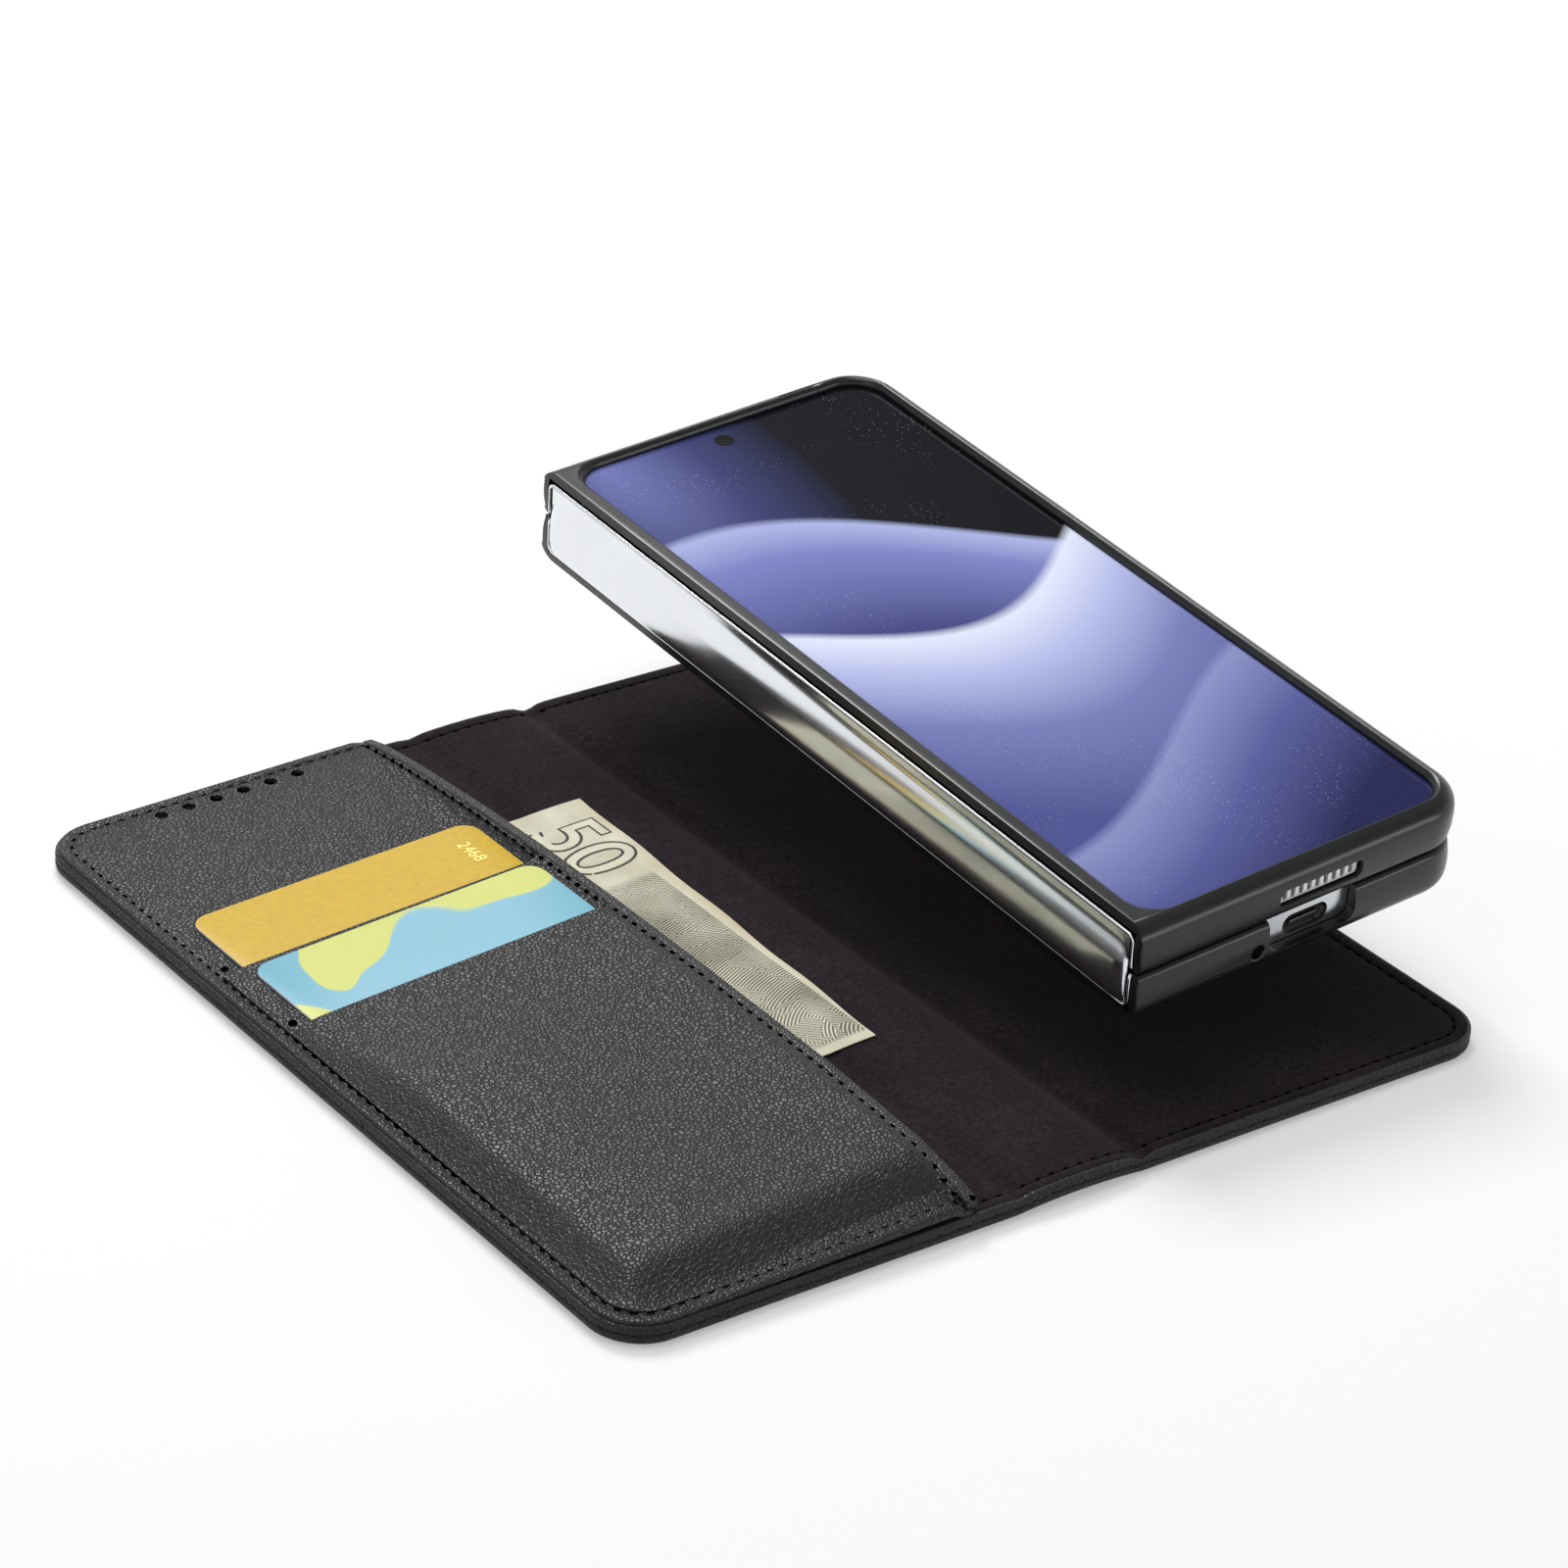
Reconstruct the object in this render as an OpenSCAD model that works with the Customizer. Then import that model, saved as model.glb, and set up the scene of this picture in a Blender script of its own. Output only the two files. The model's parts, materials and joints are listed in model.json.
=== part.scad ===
// Phone wallet case: a leather folio with card and cash pockets, and the two-part hard
// case that lifts off its back cover with a folding phone inside.
// The folio lies open on the table, the hard case is held just above the back cover.
// Origin: middle of the back cover's underside. +X runs to the back cover's free edge,
// +Y to the top end, +Z up. Millimetres.

/* [Covers] */
// Width of one cover, from its crease to its free edge
cover_w = 73.5; // [72:0.5:90]
// Length of the covers and the spine
cover_l = 171; // [166:1:200]
// Width of the spine, between its two creases
spine_w = 23.6; // [23:0.2:32]
// Radius of the four outer corners of the folio
corner_r = 9; // [4:0.5:16]
// Thickness of the outer leather
leather_t = 0.9; // [0.6:0.1:1.6]
// Thickness of the stiffening boards
board_t = 1.6; // [1.4:0.1:2.4]
// Thickness of the suede lining
lining_t = 0.9; // [0.5:0.1:1.4]
// Width of the leather turned up around the edge
turned_edge = 1; // [0.8:0.1:2]
// Distance of the seam from the edge
seam_inset = 2.6; // [2.2:0.1:4]
// Width of a line of thread
thread_w = 0.6; // [0.4:0.1:1]

/* [Pockets] */
// Thickness of the pocket leather
pocket_t = 0.8; // [0.5:0.1:1.2]
// Distance from the front crease to the hem of the pockets
hem_inset = 8.9; // [6:0.1:14]
// Height of the upper card slot's mouth above the bottom end
upper_mouth = 117.5; // [110:0.5:130]
// Height of the lower card slot's mouth above the bottom end
lower_mouth = 96.5; // [90:0.5:104]
// Play around a card in its slot
card_play = 0.5; // [0.3:0.1:1]
// Number of sound holes
sound_holes = 6; // [2:1:8]
// Diameter of a sound hole
sound_hole_d = 2.4; // [1.5:0.1:4]
// Spacing of the sound holes
sound_pitch = 5.3; // [4.5:0.1:6]
// Distance of the middle of the sound holes from the front crease
sound_middle = 38.8; // [34:0.2:44]
// Distance of the sound holes from the top end
sound_inset = 4.9; // [4.6:0.1:9]

/* [Cards and note] */
// Width of a card
card_w = 54; // [50:0.5:56]
// Length of a card
card_l = 85.6; // [80:0.2:90]
// Thickness of a card
card_t = 0.76; // [0.5:0.02:0.9]
// Corner radius of a card
card_r = 3.2; // [1:0.1:6]
// How far the upper card stands out of its slot
upper_show = 15.8; // [8:0.2:30]
// How far the lower card stands out of its slot
lower_show = 17.6; // [8:0.2:18]
// Length of the folded banknote along the hem
note_l = 88; // [60:1:100]
// Width of the folded banknote
note_w = 66; // [40:1:70]
// Thickness of the folded banknote
note_t = 0.3; // [0.2:0.1:0.5]
// How far the banknote stands out past the hem
note_show = 21; // [4:1:24]

/* [Hard case] */
// Width of the hard case
case_w = 70.2; // [70:0.1:71]
// Length of the hard case
case_l = 162; // [162:0.5:165]
// Height of the two halves together
case_h = 18; // [18:0.1:18.4]
// Thickness of the hard case's side walls
case_wall = 1.8; // [1.4:0.1:2.2]
// Thickness of the hard case's floor
case_floor = 1.6; // [1.5:0.1:1.8]
// Radius of the corners away from the hinge
case_r = 9; // [6:0.5:11]
// Gap at the seam between the two halves
seam_gap = 0.3; // [0.2:0.1:0.5]
// Width of the front frame's lip around the screen
lip_w = 4; // [3:0.1:5]
// Gap between the hard case and the back cover's free edge
case_margin = 1.2; // [0.8:0.1:1.8]

/* [Phone] */
// Play between the phone and the hard case
phone_play = 0.15; // [0.1:0.05:0.3]
// Thickness of the cover glass and of the inner screens
glass_t = 0.5; // [0.4:0.1:0.8]
// Height of the chrome hinge cover
hinge_h = 12.4; // [11:0.1:12.8]
// Thickness of the chrome hinge cover
hinge_t = 1; // [0.8:0.1:1.2]
// Distance between the two hinge pins
pin_spacing = 3.2; // [3:0.1:3.6]
// Diameter of a hinge pin
pin_d = 1; // [0.8:0.1:1.2]
// Travel of the side keys
key_travel = 0.4; // [0.2:0.1:0.6]

/* [Lifted case] */
// Angle by which the hard case is swung up off the back cover
lift_angle = 6.4; // [6:0.1:9]

/* [Hidden] */
$fn = 64;

// Small values that every piece shares
eps = 0.01;
over = 1;
crease_gap = 0.25;
sew_gap = 0.1;
layer_gap = 0.05;
cover_t = leather_t + board_t + lining_t;
half_l = cover_l / 2;
back_crease = -cover_w / 2;
front_crease = back_crease - spine_w;

// Pocket stack: heights of each layer on the front cover
note_z = cover_t + layer_gap;
base_z = note_z + note_t + layer_gap;
upper_card_z = base_z + pocket_t + layer_gap;
upper_slot_z = upper_card_z + card_t + layer_gap;
lower_card_z = upper_slot_z + pocket_t + layer_gap;
lower_slot_z = lower_card_z + card_t + layer_gap;
pocket_edge = 0.5;
base_top = base_z + pocket_t;
slot_s0 = hem_inset;
slot_s1 = cover_w - seam_inset - thread_w;
side_wall = (slot_s1 - slot_s0 - card_w - 2 * card_play) / 4;
slot_border = 3;
card_push = 12;
upper_rest = upper_mouth + upper_show - card_l - half_l;
lower_rest = lower_mouth + lower_show - card_l - half_l;
note_y = 7;
hem_seam = 0.9;
lower_top = lower_slot_z + pocket_t;
lower_hem_y0 = -half_l + seam_inset + 2 * thread_w;
lower_hem_y1 = lower_mouth - half_l - thread_w;
upper_hem_y0 = lower_mouth - half_l + thread_w;
upper_hem_y1 = half_l - seam_inset - 2 * thread_w;
thread_depth = 0.25;

// Magnets in the back cover's board, and the steel plate that they hold
magnet_d = 13;
magnet_s = [19, 49];
magnet_y = [-66, -34, -2];
plate_t = 0.5;

// Hard case, worked out where it sits on the back cover
dock_gap = 0.2;
dock_shift = 1;
case_x = cover_w / 2 - case_margin - case_w;
case_y = -case_l / 2 + dock_shift;
case_z = cover_t + dock_gap;
mid_z = case_h / 2;
half_h = mid_z - seam_gap / 2;
hinge_corner_r = 1.2;
edge_round = 3.2;
window_r = 6;
window_grow = 3;
plate_inset = 6;
plate_end = 92;

// Openings in the hard case, measured along its width from the hinge side
usb_u = 36.2;
usb_notch_w = 18;
usb_notch_z = 2.9;
usb_notch_r = 2;
speaker_u = 37.2;
speaker_w = 17.5;
speaker_z = 12.6;
speaker_h = 3.2;
speaker_r = 1.2;
top_slot_u = 37.3;
top_slot_w = 24;
top_slot_z = 13.6;
top_slot_depth = 1;
mic_u = 25;
mic_z = 4;
mic_d = 2.4;
camera_u = 57;
camera_v = 127;
camera_w = 15;
camera_l = 50;
camera_play = 0.4;
plate_rise = 1;
lens_d = 9.5;
lens_rise = 0.4;
lens_pitch = 14.5;
key_z = 5.9;
key_h = 2.6;
power_v = 91;
power_l = 14;
volume_v = 115;
volume_l = 24;
key_margin = 3.5;
key_notch_v0 = power_v - power_l / 2 - key_margin;
key_notch_v1 = volume_v + volume_l / 2 + key_margin;
key_body = 1.6;
key_out = 1.2;
key_play = 0.15;

// Phone and its hinge
phone_u0 = 1.7;
phone_u1 = case_w - case_wall - phone_play;
phone_v0 = case_wall + phone_play;
phone_v1 = case_l - case_wall - phone_play;
phone_r = case_r - case_wall;
pin_u = 1.4;
hub_r = 1.1;
pin_play = 0.05;
hinge_u = pin_u - hub_r - 4 * pin_play - hinge_t;
sweep_r = 5.3;
rear_pin_z = mid_z - pin_spacing / 2;
front_pin_z = mid_z + pin_spacing / 2;
hinge_end = 3;
lug_l = 8;
lug_v = [20, 77, 132];
arm_gap = 0.3;
screen_margin = 2.4;
glass_edge = 1.2;
glass_u0 = 4;
socket_w = 9.2;
socket_h = 3.4;
socket_depth = 7;
socket_z = 5.4;
socket_wall = 0.4;
socket_back = 1;
tongue_w = 6.4;
tongue_t = 0.7;
grille_w = 16.4;
grille_h = 2.4;
grille_depth = 0.8;
grille_slots = 9;
grille_slot = 0.9;
grille_pitch = 1.75;

// The swing that lifts the hard case off: an axis across the far corner of the folio
lift_axis = [0.72, -0.68, 0.12];
lift_pivot = [-120, -152, 105];

// ---- shared shapes ----

// Plate outline from x0 to x1 and y0 to y1 with corner radii ra at x0 and rb at x1
module outline(x0, x1, y0, y1, ra, rb) {
    translate([x0 + ra, y0]) square([x1 - x0 - ra - rb, y1 - y0]);
    translate([x0, y0 + ra]) square([ra + eps, y1 - y0 - 2 * ra]);
    translate([x1 - rb - eps, y0 + rb]) square([rb + eps, y1 - y0 - 2 * rb]);
    for (y = [y0 + ra, y1 - ra]) translate([x0 + ra, y]) circle(ra);
    for (y = [y0 + rb, y1 - rb]) translate([x1 - rb, y]) circle(rb);
}

module slab(x0, x1, y0, y1, z0, z1, ra, rb) {
    translate([0, 0, z0]) linear_extrude(z1 - z0) outline(x0, x1, y0, y1, ra, rb);
}

// Slot with round ends along Y, centred
module long_slot(w, l, z0, z1) {
    translate([0, 0, z0]) linear_extrude(z1 - z0) {
        square([w, l - w], center = true);
        for (s = [-1, 1]) translate([0, s * (l - w) / 2]) circle(d = w);
    }
}

// Cover outline from its crease to its free edge, set in by inset
module cover_outline(inset, z0, z1, from_s = crease_gap) {
    r = max(corner_r - inset, 1);
    slab(from_s, cover_w - inset, -half_l + inset, half_l - inset, z0, z1, eps, r);
}

module on_back() {
    translate([back_crease, 0, 0]) children();
}

module on_front() {
    translate([front_crease, 0, 0]) mirror([1, 0, 0]) children();
}

module docked() {
    translate([case_x, case_y, case_z]) children();
}

module lifted() {
    translate(lift_pivot) rotate(a = lift_angle, v = lift_axis) translate(-lift_pivot)
        docked() children();
}

// The front half of the case and phone mirrors the rear half about the seam
module front_side() {
    translate([0, 0, case_h]) mirror([0, 0, 1]) children();
}

// ---- folio: covers ----

module cover_leather() {
    difference() {
        cover_outline(0, 0, cover_t);
        cover_outline(turned_edge, leather_t, cover_t + over, 0);
    }
}

module cover_board() {
    cover_outline(turned_edge + sew_gap, leather_t, leather_t + board_t);
}

module cover_lining() {
    cover_outline(turned_edge + sew_gap, leather_t + board_t, cover_t);
}

// Line of thread along a cover's three outer edges, sunk below the height top
module edge_seam(from_s, top, w, rise) {
    difference() {
        cover_outline(seam_inset - w / 2, top - thread_depth, top + rise, from_s);
        cover_outline(seam_inset + w / 2, top - over, top + over, from_s - over);
    }
}

module camera_window(grow) {
    docked() translate([camera_u, camera_v, 0])
        long_slot(camera_w + grow, camera_l + grow, -case_z - over, over);
}

module magnet_spots(d, z0, z1) {
    for (s = magnet_s, y = magnet_y) translate([s, y, z0]) cylinder(d = d, h = z1 - z0);
}

module back_leather() {
    color("#26282a") difference() {
        on_back() cover_leather();
        camera_window(window_grow);
    }
}

module back_board() {
    color("#8b7a60") difference() {
        on_back() cover_board();
        camera_window(window_grow + 2 * sew_gap);
        on_back() magnet_spots(magnet_d + 2 * sew_gap, 0, cover_t);
    }
}

module back_magnets() {
    color("silver") on_back() magnet_spots(magnet_d, leather_t, leather_t + board_t);
}

module back_lining() {
    color("#2e262b") difference() {
        on_back() cover_lining();
        camera_window(window_grow);
        on_back() edge_seam(2 * crease_gap, cover_t, thread_w + 2 * sew_gap, over);
    }
}

module back_stitching() {
    color("#131313") on_back() edge_seam(3 * crease_gap, cover_t, thread_w, 0);
}

// ---- folio: spine ----

module spine_block(inset, z0, z1) {
    translate([front_crease + crease_gap, -half_l + inset, z0])
        cube([spine_w - 2 * crease_gap, cover_l - 2 * inset, z1 - z0]);
}

module spine_leather() {
    color("#26282a") difference() {
        spine_block(0, 0, cover_t);
        translate([front_crease, -half_l + turned_edge, leather_t])
            cube([spine_w, cover_l - 2 * turned_edge, cover_t]);
    }
}

module spine_board() {
    color("#8b7a60") spine_block(turned_edge + sew_gap, leather_t, leather_t + board_t);
}

module spine_seams(from, w, rise) {
    for (s = [-1, 1])
        translate([front_crease + from, s * (half_l - seam_inset) - w / 2, cover_t - thread_depth])
            cube([spine_w - 2 * from, w, thread_depth + rise]);
}

module spine_lining() {
    color("#2e262b") difference() {
        spine_block(turned_edge + sew_gap, leather_t + board_t, cover_t);
        spine_seams(2 * crease_gap, thread_w + 2 * sew_gap, over);
    }
}

module spine_stitching() {
    color("#131313") spine_seams(3 * crease_gap, thread_w, 0);
}

// ---- folio: front cover, its pockets and what they hold ----

module sound_row() {
    for (i = [0 : sound_holes - 1])
        translate([sound_middle + (i - (sound_holes - 1) / 2) * sound_pitch, half_l - sound_inset, -over])
            cylinder(d = sound_hole_d, h = lower_slot_z + 2 * over, $fn = 32);
}

module front_leather() {
    color("#26282a") on_front() difference() {
        cover_leather();
        sound_row();
    }
}

module front_board() {
    color("#8b7a60") on_front() difference() {
        cover_board();
        sound_row();
    }
}

module front_lining() {
    color("#2e262b") on_front() difference() {
        cover_lining();
        sound_row();
    }
}

// The pocket panel: a sheet over the front cover, sewn down along three edges so that
// the banknote goes in at the hem
module pocket_base() {
    color("#2b2d2f") on_front() difference() {
        cover_outline(pocket_edge, cover_t, base_top, hem_inset);
        cover_outline(seam_inset + thread_w, cover_t - over, base_z, hem_inset - over);
        edge_seam(hem_inset - over, base_top, thread_w + 2 * sew_gap, over);
        hem_thread(upper_hem_y0, upper_hem_y1, base_top, thread_w + 2 * sew_gap, over);
        sound_row();
    }
}

module front_stitching() {
    color("#131313") on_front() edge_seam(hem_inset + sew_gap, base_top, thread_w, 0);
}

// A card slot: a sheet held up by a border on three sides, open at its mouth.
// s0 and s1 are its sides, y0 and y1 its ends, top its upper face.
module card_slot(s0, s1, y0, y1, border, top) {
    difference() {
        translate([s0, y0, base_top]) cube([s1 - s0, y1 - y0, top - base_top]);
        translate([s0 + border, y0 + slot_border, base_top - over])
            cube([s1 - s0 - 2 * border, y1 - y0, top - pocket_t - base_top + over]);
    }
}

module upper_slot() {
    color("#303234") on_front()
        card_slot(slot_s0 + side_wall, slot_s1 - side_wall,
                  upper_rest - card_push - card_play - slot_border, upper_mouth - half_l,
                  side_wall, upper_slot_z + pocket_t);
}

module lower_slot() {
    color("#303234") on_front() difference() {
        card_slot(slot_s0, slot_s1, -half_l + seam_inset + thread_w, lower_mouth - half_l,
                  side_wall, lower_top);
        hem_thread(lower_hem_y0, lower_hem_y1, lower_top, thread_w + 2 * sew_gap, over);
    }
}

// Thread along the hem from y0 to y1, sunk below the height top
module hem_thread(y0, y1, top, w, rise) {
    grow = w - thread_w;
    translate([hem_inset + hem_seam - w / 2, y0 - grow / 2, top - thread_depth])
        cube([w, y1 - y0 + grow, thread_depth + rise]);
}

module hem_stitching() {
    color("#131313") on_front() {
        hem_thread(upper_hem_y0, upper_hem_y1, base_top, thread_w, 0);
        hem_thread(lower_hem_y0, lower_hem_y1, lower_top, thread_w, 0);
    }
}

module card(y) {
    middle = (slot_s0 + slot_s1) / 2;
    translate([middle, y + card_l / 2, 0]) linear_extrude(card_t)
        outline(-card_w / 2, card_w / 2, -card_l / 2, card_l / 2, card_r, card_r);
}

module upper_card() {
    color("#dfb64c") on_front() translate([0, 0, upper_card_z]) card(upper_rest);
}

module lower_card() {
    color("#7fc2d8") on_front() translate([0, 0, lower_card_z]) card(lower_rest);
}

module banknote() {
    color("#dcdabd") on_front()
        translate([hem_inset - note_show, note_y - note_l / 2, note_z]) cube([note_w, note_l, note_t]);
}

// ---- hard case ----

// Whole outer form of the closed case, with rounded long edges and ends
module case_form() {
    intersection() {
        slab(0, case_w, 0, case_l, 0, case_h, hinge_corner_r, case_r);
        translate([0, case_l + over, 0]) rotate([90, 0, 0])
            slab(0, case_w, 0, case_h, 0, case_l + 2 * over, hinge_corner_r, edge_round);
        translate([-over, 0, 0]) rotate([90, 0, 90])
            slab(0, case_l, 0, case_h, 0, case_w + 2 * over, edge_round, edge_round);
    }
}

// One half of the case, open towards the seam and the hinge
module case_half() {
    difference() {
        intersection() {
            case_form();
            translate([-over, -over, -over]) cube([case_w + 2 * over, case_l + 2 * over, half_h + over]);
        }
        slab(-over, case_w - case_wall, case_wall, case_l - case_wall, case_floor, mid_z + over,
             eps, case_r - case_wall);
        seam_corner();
    }
}

// Rounds the end walls about the pin, where the seam meets the hinge, so that they can turn
module seam_corner() {
    difference() {
        translate([-over, -over, rear_pin_z]) cube([pin_u + over, case_l + 2 * over, half_h]);
        along_case(pin_u, -2 * over, rear_pin_z, case_l + 4 * over, 2 * (half_h - rear_pin_z));
    }
}

// Cut through the bottom end wall, with rounded corners, centred at u and z
module end_cut(u, z0, z1, w, r) {
    translate([u, case_wall + over, 0]) rotate([90, 0, 0])
        slab(-w / 2, w / 2, z0, z1, 0, case_wall + 2 * over, r, r);
}

module camera_hole(grow, z0, z1) {
    translate([camera_u, camera_v, 0]) long_slot(camera_w + grow, camera_l + grow, z0, z1);
}

module plate_outline(gap, z0, z1) {
    slab(plate_inset - gap, case_w - plate_inset + gap, plate_inset - gap, plate_end + gap,
         z0, z1, card_r, card_r);
}

module case_back_shell() {
    color("#343636") lifted() difference() {
        case_half();
        camera_hole(2 * camera_play, -over, case_floor + over);
        plate_outline(sew_gap, case_floor - plate_t, case_floor + over);
        end_cut(usb_u, usb_notch_z, case_h, usb_notch_w, usb_notch_r);
        translate([mic_u, case_wall + over, mic_z]) rotate([90, 0, 0])
            cylinder(d = mic_d, h = case_wall + 2 * over, $fn = 24);
        translate([case_w - case_wall - over, key_notch_v0, key_z - key_h])
            cube([case_wall + 2 * over, key_notch_v1 - key_notch_v0, case_h]);
    }
}

module case_steel_plate() {
    color("#9aa0a3") lifted() plate_outline(0, case_floor - plate_t, case_floor);
}

module case_front_frame() {
    color("#343636") lifted() difference() {
        front_side() case_half();
        slab(lip_w, case_w - lip_w, lip_w, case_l - lip_w, mid_z, case_h + over, window_r, window_r);
        end_cut(speaker_u, speaker_z - speaker_h / 2, speaker_z + speaker_h / 2, speaker_w, speaker_r);
        translate([top_slot_u - top_slot_w / 2, case_l - case_wall - sew_gap, top_slot_z])
            cube([top_slot_w, top_slot_depth + sew_gap, case_h]);
    }
}

// ---- phone ----

module along_case(u, v, z, l, d) {
    translate([u, v + l, z]) rotate([90, 0, 0]) cylinder(d = d, h = l);
}

// One half of the phone's body. The hinge swings inside the round clearance on its inner edge.
module phone_half() {
    difference() {
        union() {
            difference() {
                slab(phone_u0, phone_u1, phone_v0, phone_v1, case_floor, half_h, eps, phone_r);
                along_case(pin_u, 0, rear_pin_z, case_l, 2 * sweep_r);
            }
            for (v = lug_v) hinge_arm(v + lug_l + arm_gap);
        }
        along_case(pin_u, 0, rear_pin_z, case_l, pin_d + 2 * pin_play);
        screen_block(sew_gap, over);
    }
}

module hinge_arm(v) {
    along_case(pin_u, v, rear_pin_z, lug_l, 2 * hub_r);
    translate([pin_u, v, rear_pin_z - hub_r]) cube([sweep_r + hub_r, lug_l, 2 * hub_r]);
}

module screen_block(gap, rise) {
    slab(pin_u + sweep_r + screen_margin - gap, phone_u1 - screen_margin + gap,
         phone_v0 + screen_margin - gap, phone_v1 - screen_margin + gap,
         half_h - glass_t, half_h + rise, card_r, phone_r - screen_margin);
}

module end_stadium(w, h, l, gap) {
    translate([usb_u, phone_v0 + l, socket_z]) rotate([90, 0, 0]) rotate([0, 0, 90])
        long_slot(h + 2 * gap, w + 2 * gap, 0, l + gap);
}

module key_block(v, l, u0, u1, gap) {
    translate([u0, v - l / 2 - gap, key_z - key_h / 2 - gap]) cube([u1 - u0, l + 2 * gap, key_h + 2 * gap]);
}

module key_pocket(v, l) {
    key_block(v, l, phone_u1 - key_body - key_travel - key_play, phone_u1 + over, key_play);
}

module phone_rear_half() {
    color("#b9bdc2") lifted() difference() {
        phone_half();
        translate([0, -over, 0]) end_stadium(socket_w, socket_h, socket_depth + over + sew_gap, sew_gap);
        key_pocket(power_v, power_l);
        key_pocket(volume_v, volume_l);
    }
}

module phone_front_half() {
    color("#b9bdc2") lifted() difference() {
        front_side() phone_half();
        front_side() glass_block(sew_gap, over);
        grille_block(sew_gap, over);
    }
}

module glass_block(gap, sink) {
    slab(glass_u0 - gap, phone_u1 - glass_edge + gap, phone_v0 + glass_edge - gap,
         phone_v1 - glass_edge + gap, case_floor - sink, case_floor + glass_t,
         eps, phone_r - glass_edge);
}

module cover_glass() {
    color("#5d6090") lifted() front_side() glass_block(0, 0);
}

module inner_screen_rear() {
    color("#101216") lifted() screen_block(0, 0);
}

module inner_screen_front() {
    color("#101216") lifted() front_side() screen_block(0, 0);
}

// The chrome cover carries both pins on three lugs
module hinge_cover() {
    color("#d8dadd") lifted() difference() {
        union() {
            slab(hinge_u, hinge_u + hinge_t, hinge_end, case_l - hinge_end,
                 mid_z - hinge_h / 2, mid_z + hinge_h / 2, eps, eps);
            for (v = lug_v) hinge_lug(v);
        }
        for (z = [rear_pin_z, front_pin_z]) along_case(pin_u, 0, z, case_l, pin_d + 2 * pin_play);
    }
}

module hinge_lug(v) {
    for (z = [rear_pin_z, front_pin_z]) along_case(pin_u, v, z, lug_l, 2 * hub_r);
    translate([hinge_u + hinge_t - eps, v, rear_pin_z - hub_r])
        cube([pin_u - hinge_u - hinge_t + eps, lug_l, pin_spacing + 2 * hub_r]);
}

module hinge_pins() {
    reach = 2 * lug_l + arm_gap;
    for (z = [rear_pin_z, front_pin_z], v = lug_v)
        color("#a8abae") lifted() along_case(pin_u, v, z, reach, pin_d);
}

module camera_plate() {
    color("#17181a") lifted() camera_hole(0, case_floor - plate_rise, case_floor);
}

module camera_lenses() {
    for (i = [-1, 0, 1])
        color("#0b0c10") lifted()
            translate([camera_u, camera_v + i * lens_pitch, case_floor - plate_rise - lens_rise])
                cylinder(d = lens_d, h = lens_rise);
}

module grille_block(gap, rise) {
    translate([speaker_u - grille_w / 2 - gap, phone_v0 - rise, speaker_z - grille_h / 2 - gap])
        cube([grille_w + 2 * gap, grille_depth + gap + rise, grille_h + 2 * gap]);
}

module speaker_grille() {
    color("#c4c7ca") lifted() difference() {
        grille_block(0, 0);
        for (i = [0 : grille_slots - 1])
            translate([speaker_u + (i - (grille_slots - 1) / 2) * grille_pitch - grille_slot / 2,
                       phone_v0 - over, speaker_z - grille_h / 2 + grille_slot / 2])
                cube([grille_slot, grille_depth + 2 * over, grille_h - grille_slot]);
    }
}

module usb_socket() {
    color("#8f9296") lifted() {
        difference() {
            end_stadium(socket_w, socket_h, socket_depth, 0);
            translate([0, -socket_back, 0]) end_stadium(socket_w, socket_h, socket_depth, -socket_wall);
        }
        translate([usb_u - tongue_w / 2, phone_v0 + socket_back, socket_z - tongue_t / 2])
            cube([tongue_w, socket_depth - socket_back, tongue_t]);
    }
}

module volume_key() {
    color("#8d9095") lifted() key_block(volume_v, volume_l, phone_u1 - key_body, phone_u1 + key_out, 0);
}

module power_key() {
    color("#8d9095") lifted() key_block(power_v, power_l, phone_u1 - key_body, phone_u1 + key_out, 0);
}

back_leather();
back_board();
back_lining();
back_magnets();
back_stitching();
spine_leather();
spine_board();
spine_lining();
spine_stitching();
front_leather();
front_board();
front_lining();
front_stitching();
pocket_base();
upper_slot();
lower_slot();
hem_stitching();
upper_card();
lower_card();
banknote();
case_back_shell();
case_steel_plate();
case_front_frame();
phone_rear_half();
phone_front_half();
cover_glass();
inner_screen_rear();
inner_screen_front();
hinge_cover();
hinge_pins();
camera_plate();
camera_lenses();
speaker_grille();
usb_socket();
volume_key();
power_key();
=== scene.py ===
import json
import math
import bmesh
import bpy
from mathutils import Matrix, Vector
from mathutils.bvhtree import BVHTree


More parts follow.
